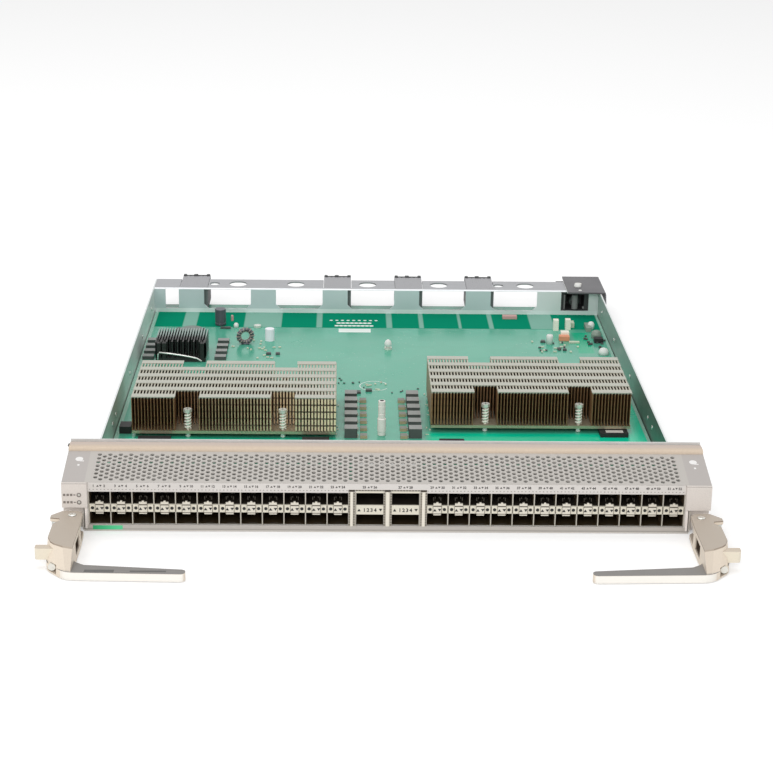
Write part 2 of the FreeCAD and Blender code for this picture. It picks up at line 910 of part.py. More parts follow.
def sink_screw_spots():
    """Where the sprung screws of the left heat sink stand, one in each notch."""
    rear = "sink_front + sink_depth - sink_screw_inset"
    return [
        (f"sink_left + {notch}", depth)
        for depth in ("sink_front + sink_screw_inset", rear)
        for notch in NOTCHES
    ]


def notch_rectangles(sketch):
    rear = "sink_front + sink_depth"
    for notch in NOTCHES:
        span = (f"sink_left + {notch} - notch_half", f"sink_left + {notch} + notch_half")
        rectangle(sketch, span, ("sink_front - 1", "sink_front + notch_depth"))
        rectangle(sketch, span, (f"{rear} - notch_depth", f"{rear} + 1"))


def make_heat_sinks():
    """Base plate, a stack of thin fins notched for the screws, and the strips that tie their tops."""
    width = ("sink_left", "sink_left + sink_width")
    depth = ("sink_front", "sink_front + sink_depth")
    deck = "sink_bottom + sink_base"
    base = new_body("sink_plate")
    pad(
        base, "base_plate", "z", "sink_bottom", deck,
        lambda sketch: rectangle(sketch, width, depth),
    )

    def screw_holes(sketch):
        for x, y in sink_screw_spots():
            span = (f"{x} - board_hole", f"{x} + board_hole")
            rectangle(sketch, span, (f"{y} - board_hole", f"{y} + board_hole"))

    pocket(base, "base_holes", "z", "sink_bottom", deck, screw_holes)
    keep(base, "left_heat_sink_base")

    fins = new_body("fins")
    pad(
        fins, "fin_feet", "z", deck, f"{deck} + fin_foot",
        lambda sketch: rectangle(sketch, width, depth),
    )
    one = pad(
        fins, "one_fin", "z", f"{deck} + fin_foot", "fin_top",
        lambda sketch: rectangle(sketch, ("sink_left", "sink_left + fin"), depth),
    )
    pattern(fins, one, "all_fins", "H_Axis", "sink_width - fin", "fin_count")
    pocket(fins, "fin_notches", "z", deck, "fin_top", notch_rectangles)
    keep(fins, "left_heat_sink_fins")

    strips = new_body("strips")
    strip = pad(
        strips, "one_strip", "z", "fin_top", "fin_top + strip",
        lambda sketch: rectangle(sketch, width, ("sink_front", "sink_front + strip_width")),
    )
    pattern(strips, strip, "all_strips", "V_Axis", "sink_depth - strip_width", "6")
    pocket(strips, "strip_notches", "z", "fin_top", "fin_top + strip", notch_rectangles)
    keep(strips, "left_heat_sink_strips")

    chip = block(
        "package",
        ("sink_left + sink_width / 2 - chip_half", "sink_left + sink_width / 2 + chip_half"),
        ("sink_front + sink_depth / 2 - chip_half", "sink_front + sink_depth / 2 + chip_half"),
        ("board_top", "sink_bottom"),
    )
    keep(chip, "left_switch_chip")
    for piece, name in ((base, "base"), (fins, "fins"), (strips, "strips")):
        shifted(f"right_heat_sink_{name}", piece, "sink_shift_across", "sink_shift_back")
    shifted("right_switch_chip", chip, "sink_shift_across", "sink_shift_back")


def make_sink_fixings():
    """Long screws with a coil spring under each head, four to a heat sink."""
    screws = []
    springs = []
    deck = "sink_bottom + sink_base"
    for side, (across, back) in enumerate((("0", "0"), ("sink_shift_across", "sink_shift_back"))):
        for n, (x, y) in enumerate(sink_screw_spots()):
            spot = (f"{x} + {across}", f"{y} + {back}")
            tag = f"{side}{n}"
            screws.append(screw("sink_screw" + tag, "board_top", "sink_screw_top", "2.4", spot, 6))
            coil = prism("coil" + tag, 6, "spring_radius", deck, "sink_screw_top", spot)
            inner = prism("coil_bore" + tag, 6, "spring_bore", deck, "sink_screw_top", spot)
            springs.append(cut("spring" + tag, coil, inner))
    keep(group("sink_screws", screws), "heat_sink_screws")
    keep(group("sink_springs", springs), "heat_sink_springs")


def make_small_sink():
    """Black finned heat sink with a bent wire clip across its front."""
    sink = new_body("small_sink")
    width = ("-186", "-144.5")
    depth = ("340", "378")
    top = "board_top + 17.5"
    pad(
        sink, "small_base", "z", "board_top + 2.5", "board_top + 5",
        lambda sketch: rectangle(sketch, width, depth),
    )
    fin = pad(
        sink, "small_fin", "z", "board_top + 5", top,
        lambda sketch: rectangle(sketch, ("-186", "-184.7"), depth),
    )
    pattern(sink, fin, "small_fins", "H_Axis", "41.5 - 1.3", "10")
    keep(sink, "small_heat_sink")
    wire = ("338.6", "339.8")
    level = ("board_top + 8", "board_top + 9.2")
    leg = ("board_top", level[1])
    keep(fuse(
        "clip",
        block("clip_wire", ("-184", "-146"), wire, level),
        block("clip_leg_left", ("-184", "-182.8"), wire, leg),
        block("clip_leg_right", ("-147.2", "-146"), wire, leg),
    ), "small_heat_sink_clip")


# Parts on the board


def chip(name, x, y, height, lift="0"):
    return block(name, x, y, (f"board_top + {lift}", f"board_top + {lift} + {height}"))


POWER_FIRST = 163.5
POWER_STEP = 15.7
BAR_FIRST = 345.0
BAR_STEP = 14.7


def make_board_parts():
    """Power stages in two columns, flat bars by the small heat sink, chips, and round parts at the rear."""
    inductors = []
    stages = []
    for side, x, small in (("left", -28.7, -17.0), ("right", 19.4, 13.0)):
        for n in range(6):
            y = POWER_FIRST + POWER_STEP * n
            inductors.append(chip(f"inductor_{side}{n}", (x, x + 9.6), (y, y + 9), 7.5))
            stages.append(chip(f"stage_{side}{n}", (small, small + 5.2), (y - 1, y + 5), 2.4))
    for side, x in (("outer", -197.5), ("inner", -137.5)):
        for n in range(4):
            y = BAR_FIRST + BAR_STEP * n
            inductors.append(chip(f"bar_{side}{n}", (x, x + 9.5), (y, y + 7), 3.0))
    keep(group("inductors", inductors), "power_inductors")
    keep(group("stages", stages), "power_stages")

    keep(group("chips", [
        chip("front_chip_one", (-181, -157), (150, 158.5), 3.0),
        chip("front_chip_two", (-60, -40), (150, 158), 3.0),
        chip("front_chip_three", (41.5, 60), (144, 156), 3.0),
        chip("front_chip_four", (163, 184), (168, 182), 3.0),
        chip("control_chip", (-176, -147), (346, 372), 2.5),
        chip("rear_chip", (187, 194.5), (398, 405), 4.0),
        chip("edge_chip", (-165, -151), (413, 425), 3.0),
    ]), "surface_chips")
    keep(group("cans", [
        prism("dark_can", 20, 4.8, "board_top", "board_top + 15", ("-138.6", "444")),
        prism("ring_can", 20, 6.5, "board_top", "board_top + 6", ("-114", "390")),
    ]), "can_capacitors")
    keep(group("sockets", [
        prism("white_socket", 16, 4.0, "board_top", "board_top + 10.5", ("-93.5", "400.4")),
        chip("cream_socket_one", (155, 159.5), (433, 439), 9.5),
        chip("cream_socket_two", (166, 170.5), (436, 442), 9),
        chip("orange_socket", (159, 166), (408, 414), 6.5),
        chip("black_socket", (-196.5, -188), (170, 182), 5.5),
    ]), "board_sockets")
    post = prism("post", 16, 2.6, "board_top", "board_top + 27.5", ("-1", "175"))
    keep(post, "tall_standoff")


# Ejector levers


def make_lever():
    """Cast lever: a claw and two plates round the pivot, a solid knuckle and a long handle bar."""
    lever = new_body("lever")
    outer = "-lever_outer"
    inner = "-lever_inner"

    def handle(sketch):
        outline(sketch, [
            (outer, "-lever_wall_rear"),
            (outer, "-62"),
            ("-203", "-77.2"),
            ("-bar_tip", "-bar_front"),
            ("-bar_tip", "-bar_rear"),
            ("-192", "-65.6"),
            (inner, "-60.5"),
            (inner, "-lever_wall_rear"),
        ])

    pad(lever, "handle", "z", "lever_bottom", "bar_top", handle)
    tip = -SIZES["bar_tip"]
    soften(lever, "handle_corner", "15", "z", [(-SIZES["lever_outer"], -62.0), (-203.0, -77.2)])
    soften(lever, "handle_tip", "3", "z", [(tip, -SIZES["bar_front"]), (tip, -SIZES["bar_rear"])])
    soften(lever, "handle_root", "4", "z", [(-192.0, -65.6), (-SIZES["lever_inner"], -60.5)])

    low = sketch_on(lever, "knuckle_low", "z", "bar_top")
    outline(low, [
        (outer, "-lever_wall_rear"),
        (outer, "-57"),
        ("-213.99", "-64.11"),
        ("-208.51", "-70.89"),
        ("-202.22", "-75.31"),
        (inner, "-76.5"),
        (inner, "-lever_wall_rear"),
    ])
    high = sketch_on(lever, "knuckle_high", "z", "lever_top")
    outline(high, [
        (outer, "-lever_wall_rear"),
        (outer, "-47"),
        ("-213.99", "-54.11"),
        ("-211.51", "-57.176"),
        ("-205.22", "-61.598"),
        (inner, "-63.828"),
        (inner, "-lever_wall_rear"),
    ])
    knuckle = lever.newObject("PartDesign::AdditiveLoft", "knuckle")
    knuckle.Profile = low
    knuckle.Sections = [high]
    knuckle.Ruled = True

    def claw(sketch):
        outline(sketch, [
            ("-213.0", "-5.4"),
            ("-203.0", "-5.4"),
            ("-199.6", "-9.0"),
            (inner, "-27"),
            (outer, "-27"),
            ("-214.2", "-23"),
            ("-212.6", "-20.5"),
            ("-213.6", "-17.8"),
            ("-219.6", "-16.8"),
            ("-219.6", "-12.6"),
        ])

    pad(lever, "claw_upper", "z", "lever_deck", "lever_top", claw)
    pad(lever, "claw_lower", "z", "lever_bottom", "lever_foot", claw)
    pocket(
        lever, "pivot_bore", "z", "lever_bottom", "lever_top",
        lambda sketch: circle(sketch, "-pivot_across", "-pivot_front", "pin_radius + pin_clearance"),
    )
    pocket(
        lever, "side_recess", "x", "-212", "-190",
        lambda sketch: rectangle(sketch, ("-50", "-33"), ("lever_foot + 1", "lever_deck - 1")),
    )
    play = "button_play"
    pocket(
        lever, "button_channel", "x", "-button_outer", "-channel_end",
        lambda sketch: rectangle(
            sketch, (f"-button_front - {play}", f"{play} - button_rear"),
            (f"button_bottom - {play}", f"button_top + {play}"),
        ),
    )
    pocket(
        lever, "latch_pocket", "z", "1.2", "latch_screw_height + latch_screw_radius + 0.4",
        lambda sketch: rectangle(sketch, ("-218", "-208.4"), ("-78", "-63.5")),
    )
    keep(lever, "left_lever")
    mirrored("right_lever", lever)


def make_lever_pieces():
    """Pivot pins, release buttons with their springs, and the screws below the buttons."""
    spot = ("-pivot_across", "-pivot_front")
    pin = rod("pin", "z", "pin_radius", "lever_bottom", "lever_top + 0.5", spot)
    other = doc.addObject("Part::Mirroring", "other_pin")
    other.Source = pin
    other.Normal = Vector(1, 0, 0)
    keep(group("pins", [pin, other]), "lever_pivot_pins")

    button = new_body("button")
    pad(
        button, "button_block", "z", "button_bottom", "button_top",
        lambda sketch: rectangle(
            sketch, ("-button_outer", "-button_inner"), ("-button_front", "-button_rear"),
        ),
    )
    corner = (-SIZES["button_outer"], -SIZES["button_front"])
    soften(button, "button_round", "2", "z", [corner])
    keep(button, "left_release_button")
    mirrored("right_release_button", button)

    centre = ("-(button_front + button_rear) / 2", "(button_bottom + button_top) / 2")
    reach = ("-button_inner", "-channel_end")
    spring = keep(prism("push_spring", 12, 2.4, *reach, centre, "x"), "left_release_spring")
    mirrored("right_release_spring", spring)

    centre = ("-latch_screw_across", "latch_screw_height")
    head = prism("latch_head", 16, "latch_screw_radius", "-66.5", "-63.5", centre, "y")
    screw = keep(head, "left_latch_screw")
    mirrored("right_latch_screw", screw)


make_tray()
make_board()
make_board_fixings()
make_faceplate()
make_screen()
make_rail()
make_gasket()
make_end_bracket()
make_small_port_cages()
make_wide_port_cages()
make_port_latches()
make_beam()
make_backplane_connectors()
make_guide()
make_heat_sinks()
make_sink_fixings()
make_small_sink()
make_board_parts()
make_lever()
make_lever_pieces()

doc.recompute()
for thing in doc.Objects:
    if "Invalid" in thing.State or "Error" in thing.State:
        raise RuntimeError(f"{thing.Name} failed: {thing.State}")

os.makedirs("parts", exist_ok=True)
for part in parts:
    shape = part.Shape
    if shape.isNull() or not shape.isValid() or not shape.Solids:
        raise RuntimeError(f"{part.Label} has no valid solid")
    shape.exportStep(f"parts/{part.Label}.step")
print(len(parts), "parts written")
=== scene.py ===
import math
import random
import re

import bpy
from mathutils import Matrix, Vector


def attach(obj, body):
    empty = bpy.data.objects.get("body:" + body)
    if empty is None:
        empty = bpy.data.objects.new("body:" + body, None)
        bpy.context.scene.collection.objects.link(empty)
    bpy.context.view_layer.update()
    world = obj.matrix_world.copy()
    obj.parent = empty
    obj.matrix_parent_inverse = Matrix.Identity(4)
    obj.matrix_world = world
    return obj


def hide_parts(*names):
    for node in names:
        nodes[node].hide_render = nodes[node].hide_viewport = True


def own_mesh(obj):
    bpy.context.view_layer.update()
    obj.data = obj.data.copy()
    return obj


# Looks of the switch line card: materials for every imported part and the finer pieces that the
# solids leave out. Lengths are millimetres in the part's frame until a mesh is made.

MM = 0.001
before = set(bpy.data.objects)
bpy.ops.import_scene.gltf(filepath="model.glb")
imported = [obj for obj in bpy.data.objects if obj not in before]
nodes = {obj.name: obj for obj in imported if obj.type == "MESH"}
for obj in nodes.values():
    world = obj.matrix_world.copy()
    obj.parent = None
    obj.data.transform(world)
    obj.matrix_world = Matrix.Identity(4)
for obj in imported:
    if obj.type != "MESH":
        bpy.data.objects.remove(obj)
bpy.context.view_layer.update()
chance = random.Random(11)


# Materials

WHITE = (1, 1, 1, 1)
COAT_ROUGHNESS = 0.12
GRAIN_DEPTH = 0.1


def rgb(red, green, blue):
    """Screen colour from 0 to 255 as the linear colour that a shader takes."""
    linear = []
    for value in (red, green, blue):
        part = value / 255
        linear.append(part / 12.92 if part <= 0.04045 else ((part + 0.055) / 1.055) ** 2.4)
    return (*linear, 1)


def shade(colour, factor):
    return (*(min(channel * factor, 1) for channel in colour[:3]), 1)


class Nodes:
    """Adds and joins the nodes of one tree."""

    def __init__(self, tree):
        self.tree = tree

    def add(self, kind, *values, **settings):
        node = self.tree.nodes.new(kind)
        for key, value in settings.items():
            setattr(node, key, value)
        for socket, value in zip(node.inputs, values):
            self.feed(socket, value)
        return node

    def feed(self, socket, value):
        if isinstance(value, bpy.types.NodeSocket):
            self.tree.links.new(value, socket)
        else:
            socket.default_value = value

    def give(self, node, values):
        """Sets or joins inputs of a node by their names."""
        for name, value in values.items():
            self.feed(node.inputs[name], value)

    def sum(self, operation, first, second=0):
        return self.add("ShaderNodeMath", first, second, operation=operation).outputs[0]

    def less(self, mask):
        """1 where a mask is 0, and 0 where it is 1."""
        return self.sum("SUBTRACT", 1, mask)

    def ramp(self, value, low, high, start=0, end=1):
        return self.add("ShaderNodeMapRange", value, low, high, start, end).outputs[0]


class Finish(Nodes):
    """A material under construction around one Principled shader."""

    def __init__(self, name, metal=0, coat=0):
        self.material = bpy.data.materials.new(name)
        self.material.use_nodes = True
        super().__init__(self.material.node_tree)
        self.shader = self.tree.nodes["Principled BSDF"]
        self.give(self.shader, {
            "Metallic": metal, "Coat Weight": coat, "Coat Roughness": COAT_ROUGHNESS,
        })
        self.place = self.add("ShaderNodeTexCoord").outputs["Object"]
        self.axes = self.add("ShaderNodeSeparateXYZ", self.place).outputs
        self.dull = None

    def along(self, axis, low, high):
        """Rises from 0 to 1 between two levels along an axis, in millimetres."""
        return self.ramp(self.axes["XYZ".index(axis)], low * MM, high * MM)

    def mix(self, factor, first, second):
        return self.add("ShaderNodeMixRGB", factor, first, second).outputs[0]

    def texture(self, kind, scale, stretch):
        moved = self.add("ShaderNodeMapping", self.place)
        self.give(moved, {"Scale": stretch})
        node = self.add(kind)
        self.give(node, {"Vector": moved.outputs[0], "Scale": scale})
        return node

    def noise(self, scale, detail=3, stretch=(1, 1, 1)):
        node = self.texture("ShaderNodeTexNoise", scale, stretch)
        self.give(node, {"Detail": detail})
        return node.outputs[0]

    def cells(self, scale, stretch=(1, 1, 1)):
        return self.texture("ShaderNodeTexVoronoi", scale, stretch).outputs[0]

    def band(self, axis, low, high, soft=0.2):
        """1 between two levels along an axis, in millimetres, and 0 outside them."""
        value = self.axes["XYZ".index(axis)]
        rise = self.ramp(value, (low - soft) * MM, (low + soft) * MM)
        fall = self.ramp(value, (high - soft) * MM, (high + soft) * MM, 1, 0)
        return self.sum("MULTIPLY", rise, fall)

    def stripes(self, axis, pitch, share, offset=0):
        """1 on lines across an axis, at a pitch and share of it."""
        value = self.axes["XYZ".index(axis)]
        turns = self.sum("MULTIPLY", self.sum("ADD", value, -offset * MM), 1 / (pitch * MM))
        return self.sum("LESS_THAN", self.sum("FRACT", turns), share)

    def facing(self, axis, low=0.5, high=0.9, flip=False):
        """1 where the surface faces along an axis of the part's frame."""
        parts = self.add("ShaderNodeSeparateXYZ", self.add("ShaderNodeNewGeometry").outputs["Normal"])
        value = parts.outputs["XYZ".index(axis)]
        if flip:
            value = self.sum("MULTIPLY", value, -1)
        return self.ramp(value, low, high)

    def both(self, *masks):
        result = masks[0]
        for mask in masks[1:]:
            result = self.sum("MULTIPLY", result, mask)
        return result

    def bump(self, height, strength):
        node = self.add("ShaderNodeBump")
        self.give(node, {"Strength": strength, "Distance": GRAIN_DEPTH * MM, "Height": height})
        self.give(self.shader, {"Normal": node.outputs[0]})

    def set(self, colour, roughness):
        self.give(self.shader, {"Base Color": colour, "Roughness": roughness})
        return self.material


def surface(name, colour, rough=0.5, metal=0, vary=0.08, scale=25, grain=900,
            bump=0.15, stretch=(1, 1, 1), coat=0, over=None):
    """Cloudy base colour, fine grain in tone and relief, and any areas painted over it."""
    finish = Finish(name, metal, coat)
    cloud = finish.noise(scale, 4)
    fine = finish.noise(grain, 2, stretch)
    paint = finish.mix(cloud, shade(colour, 1 - vary), shade(colour, 1 + vary))
    paint = finish.mix(finish.ramp(fine, 0.45, 0.75, 0, 0.6), paint, shade(colour, 1 - 2 * vary))
    for mask, tone in over(finish) if over else ():
        paint = finish.mix(mask, paint, tone)
    finish.bump(fine, bump)
    roughness = finish.ramp(cloud, 0.25, 0.75, max(rough - 0.08, 0.04), rough + 0.08)
    if finish.dull is not None:
        roughness = finish.sum("MAXIMUM", roughness, finish.dull)
    return finish.set(paint, roughness)


def tray_areas(finish):
    """Inner walls with a painted reflection of the board's green and painted shade towards the front, the
    left wall painted paler where more light falls, and painted highlights on the top edges.
    """
    inner = finish.band("X", -200.4, 200.4, 0.05)
    up = finish.band("Z", 1.2, 26.6, 0.3)
    rear = finish.along("Y", 150, 430)
    cloud = finish.ramp(finish.noise(12), 0.3, 0.7, 0.75, 1)
    left = finish.sum("LESS_THAN", finish.axes[0], 0)
    # Painted reflection of the board's green, with painted shade towards the front; the left wall paler
    # where more light falls.
    wall = finish.mix(rear, rgb(78, 100, 90), rgb(168, 188, 180))
    wall = finish.mix(left, wall, finish.mix(rear, rgb(200, 218, 208), rgb(250, 252, 250)))
    return [
        (finish.both(inner, up, cloud), wall),
        # Painted highlight on the top edges.
        (finish.band("Z", 26.7, 30, 0.1), rgb(226, 230, 229)),
        (finish.less(finish.along("Y", 2.4, 3)), rgb(206, 201, 194)),
    ]


# Mint with a painted reflection of the lamps in it; the vivid green is the board where that painted
# reflection is left off.
BOARD_SHEEN_MINT = (79, 172, 144)
BOARD_BRIGHT = (0, 211, 166)
BOARD_SPAN = (-198, 198)
REAR_BAND = (437, 482)
# Places along X of the painted reflections of the beam on the darker band.
BEAM_REFLECTION_BARS = (
    (-118, -85), (136, 157), (-54, -49), (8, 13), (37, 41),
    (72, 74.5), (99, 103), (-172, -160),
)


def board_areas(finish):
    """Copper planes, tracks and vias under the green film; a mint base with a painted reflection of the
    lamps, left off in vivid green zones; painted shade towards the front, a darker band along the beam
    with painted reflections of the beam on it, and painted highlights along the side edges.
    """
    top = finish.facing("Z")

    def zone(x, y, soft=0.6):
        return finish.both(finish.band("X", *x, soft), finish.band("Y", *y, soft), top)

    planes = finish.ramp(finish.cells(26, (1, 1.6, 1)), 0.42, 0.46, 0, 0.22)
    tracks = finish.both(
        finish.stripes("X", 1.9, 0.3), finish.ramp(finish.noise(14, 1), 0.5, 0.56, 0, 0.16),
    )
    vias = finish.ramp(finish.cells(210), 0, 0.16, 0.6, 0)
    bright = rgb(*BOARD_BRIGHT)
    band = zone(BOARD_SPAN, REAR_BAND, 1)
    front = zone(BOARD_SPAN, (2, 120), 0.5)
    matt = finish.sum("MAXIMUM", band, front)
    finish.give(finish.shader, {"Specular IOR Level": finish.ramp(matt, 0, 1, 0.5, 0)})
    finish.dull = finish.sum("MULTIPLY", matt, 0.95)
    areas = [
        (finish.both(planes, top), shade(rgb(*BOARD_SHEEN_MINT), 0.86)),
        (finish.both(tracks, top), shade(rgb(*BOARD_SHEEN_MINT), 1.12)),
        (finish.both(vias, top, finish.ramp(finish.noise(20), 0.45, 0.55)), rgb(176, 206, 184)),
        # Vivid green where the painted reflection is left off.
        (zone((-190, -33), (2, 163), 3), bright),
        (zone((34, 199), (2, 176), 3), bright),
        (zone((187.5, 197.5), (100, 330), 1.5), bright),
        (zone((170.5, 184), (370, 428), 1), rgb(0, 176, 132)),
        # Painted shade towards the front.
        (front, rgb(12, 100, 76)),
        (band, rgb(14, 138, 106)),
    ]
    # Painted reflections of the beam on the darker band.
    for bar in BEAM_REFLECTION_BARS:
        areas.append((zone(bar, (438, 482), 0.5), rgb(132, 180, 164)))
    # Painted highlight along the side edges.
    edge = finish.less(finish.band("X", -196.5, 197.2, 0.4))
    areas.append((finish.both(edge, top), rgb(150, 196, 178)))
    areas.append((finish.band("Z", 2, 4.3, 0.05), rgb(96, 118, 82)))
    return areas


def panel_areas(finish):
    """Sill below the ports a little darker than the caps, with a shaded lower edge."""
    inner = finish.band("X", -198, 198)
    caps = finish.less(inner)
    return [
        (caps, rgb(250, 242, 236)),
        (finish.both(inner, finish.band("Z", 0, 4.35, 0.05)), rgb(188, 182, 175)),
        (finish.band("Z", 0, 1.8, 0.4), rgb(158, 152, 145)),
    ]


def cage_areas(finish):
    # Painted shade within the cages.
    shaded_inside = finish.both(
        finish.band("Z", 4.8, 28.55, 0.05), finish.band("Y", 0, 69.4, 0.2),
    )
    return [(shaded_inside, rgb(96, 80, 58))]


def gasket_areas(finish):
    rear = finish.along("Y", 38.5, 43)
    # Pinker towards the rear; painted shade within the hollow strip.
    shaded_inside = finish.both(finish.band("Z", 41.5, 44.4, 0.1), finish.band("Y", 37.2, 47.6, 0.1))
    return [(rear, rgb(201, 186, 176)), (shaded_inside, rgb(60, 56, 52))]


def beam_areas(finish):
    # Painted light on the beam: a painted reflection of the board's green on the webs, paler towards the
    # right end, painted highlights on the lower strip and along the top edge under the flange, and the
    # inner faces at the rear painted near-white.
    rear = finish.along("Y", 509, 510.5)
    inner = finish.both(rear, finish.facing("Y", flip=True))
    front = finish.band("Y", 481, 483.2)
    web_reflection = finish.both(front, finish.band("Z", 4, 25.9, 0.1))
    foot_highlight = finish.both(front, finish.band("Z", 1, 8.2, 0.2))
    crest_highlight = finish.both(front, finish.band("Z", 25.7, 27.2, 0.1))
    lit_right_end = finish.both(web_reflection, finish.along("X", 130, 140))
    return [
        (web_reflection, rgb(206, 217, 219)), (inner, rgb(240, 239, 243)), (lit_right_end, rgb(232, 235, 235)),
        (foot_highlight, rgb(240, 244, 244)), (crest_highlight, rgb(240, 241, 244)),
    ]


def fin_areas(finish):
    """Sheets with painted light that grows across the left sink, painted shade stripes across their
    fronts, and painted highlights on their tops.
    """
    across = finish.along("X", -150, -36)
    left = finish.sum("LESS_THAN", finish.axes[0], 0)
    glow = finish.sum("MULTIPLY", across, left)
    crown_highlight = finish.along("Z", 35.2, 36.1)
    shade_stripes = finish.both(finish.stripes("Z", 5.4, 0.22, 9), finish.facing("Y", flip=True))
    strength = finish.ramp(glow, 0, 1, 0.35, 0.95)
    # Painted light across the left sink, painted shade stripes, and painted highlights on the tops.
    return [
        (glow, rgb(250, 226, 190)), (finish.sum("MULTIPLY", shade_stripes, strength), rgb(44, 36, 24)),
        (crown_highlight, rgb(186, 182, 166)),
    ]


def ferrite_areas(finish):
    # Painted reflection on the tops and painted shade on the front ends.
    top = finish.facing("Z", 0.6, 0.9)
    ends = finish.both(finish.band("X", -20, 20), finish.facing("Y", 0.6, 0.9, True))
    return [(top, rgb(148, 151, 148)), (ends, rgb(66, 69, 66))]


def package_areas(finish):
    """Paler lids on the two columns of power stages."""
    top = finish.facing("Z", 0.6, 0.9)
    stages = finish.both(finish.band("X", -20, 20), finish.band("Y", 158, 260))
    front = finish.both(stages, finish.facing("Y", 0.6, 0.9, True))
    return [(finish.both(stages, top), rgb(136, 138, 130)), (front, rgb(176, 160, 128))]


def plug_areas(finish):
    # Painted shade on the sides, and darker faces towards the front.
    sides = finish.sum("MAXIMUM", finish.facing("X"), finish.facing("X", flip=True))
    return [(sides, rgb(44, 46, 48)), (finish.facing("Y", flip=True), rgb(112, 118, 118))]


def socket_areas(finish):
    return [
        (finish.band("X", -180, 0), rgb(244, 244, 250)),
        (finish.band("X", -230, -180), rgb(18, 20, 20)),
    ]


def black_sink_areas(finish):
    rear = finish.along("Y", 352, 362)
    return [(finish.both(finish.facing("Z"), rear), rgb(140, 158, 152))]


def lever_areas(finish):
    """Deck in painted shade, taupe, with a darker rim; the top of the bar in greyer painted shade, a
    painted highlight on the bar's front, and painted shade in the hollow on the inner side.
    """
    top = finish.facing("Z", 0.6, 0.95)
    across = finish.sum("ABSOLUTE", finish.axes[0])
    rim = finish.both(finish.band("Z", 15.8, 16.6, 0.15), finish.ramp(top, 0, 1, 1, 0))
    bar = finish.both(top, finish.band("Z", 4.8, 6))
    handle_highlight = finish.both(
        finish.facing("Y", 0.6, 0.9, True), finish.band("Z", 0, 5.4), finish.band("Y", -80, -74),
    )
    shaded_inside = finish.ramp(across, 199.4 * MM, 199.9 * MM)
    shaded_recess = finish.both(
        shaded_inside, finish.band("Z", 4.2, 13.1, 0.05), finish.band("Y", -50.05, -32.95, 0.05),
    )
    # Painted shade on the tops and in the hollow on the inner side; painted highlight on the bar's front.
    return [
        (top, rgb(182, 170, 156)), (bar, rgb(134, 131, 128)), (rim, rgb(142, 126, 110)),
        (handle_highlight, rgb(250, 246, 238)),
        (shaded_recess, rgb(84, 70, 58)),
    ]


def slope_areas(finish):
    # Painted shade on the top faces, darker at the ends.
    ends = finish.less(finish.band("X", -199, 199))
    top = finish.facing("Z", 0.6, 0.9)
    return [(top, rgb(186, 181, 175)), (finish.both(ends, top), rgb(178, 172, 168))]


def weave(finish):
    """Fine over-and-under cloth relief for the conductive strip."""
    threads = finish.ramp(finish.noise(500), 0.3, 0.7, 0.1, 0.35)
    return [(finish.both(finish.stripes("X", 0.9, 0.5), threads), rgb(184, 168, 148))]


def look(red, green, blue, **rest):
    return dict(colour=rgb(red, green, blue), **rest)


# The record's material slots, and the further finishes of the fine pieces.

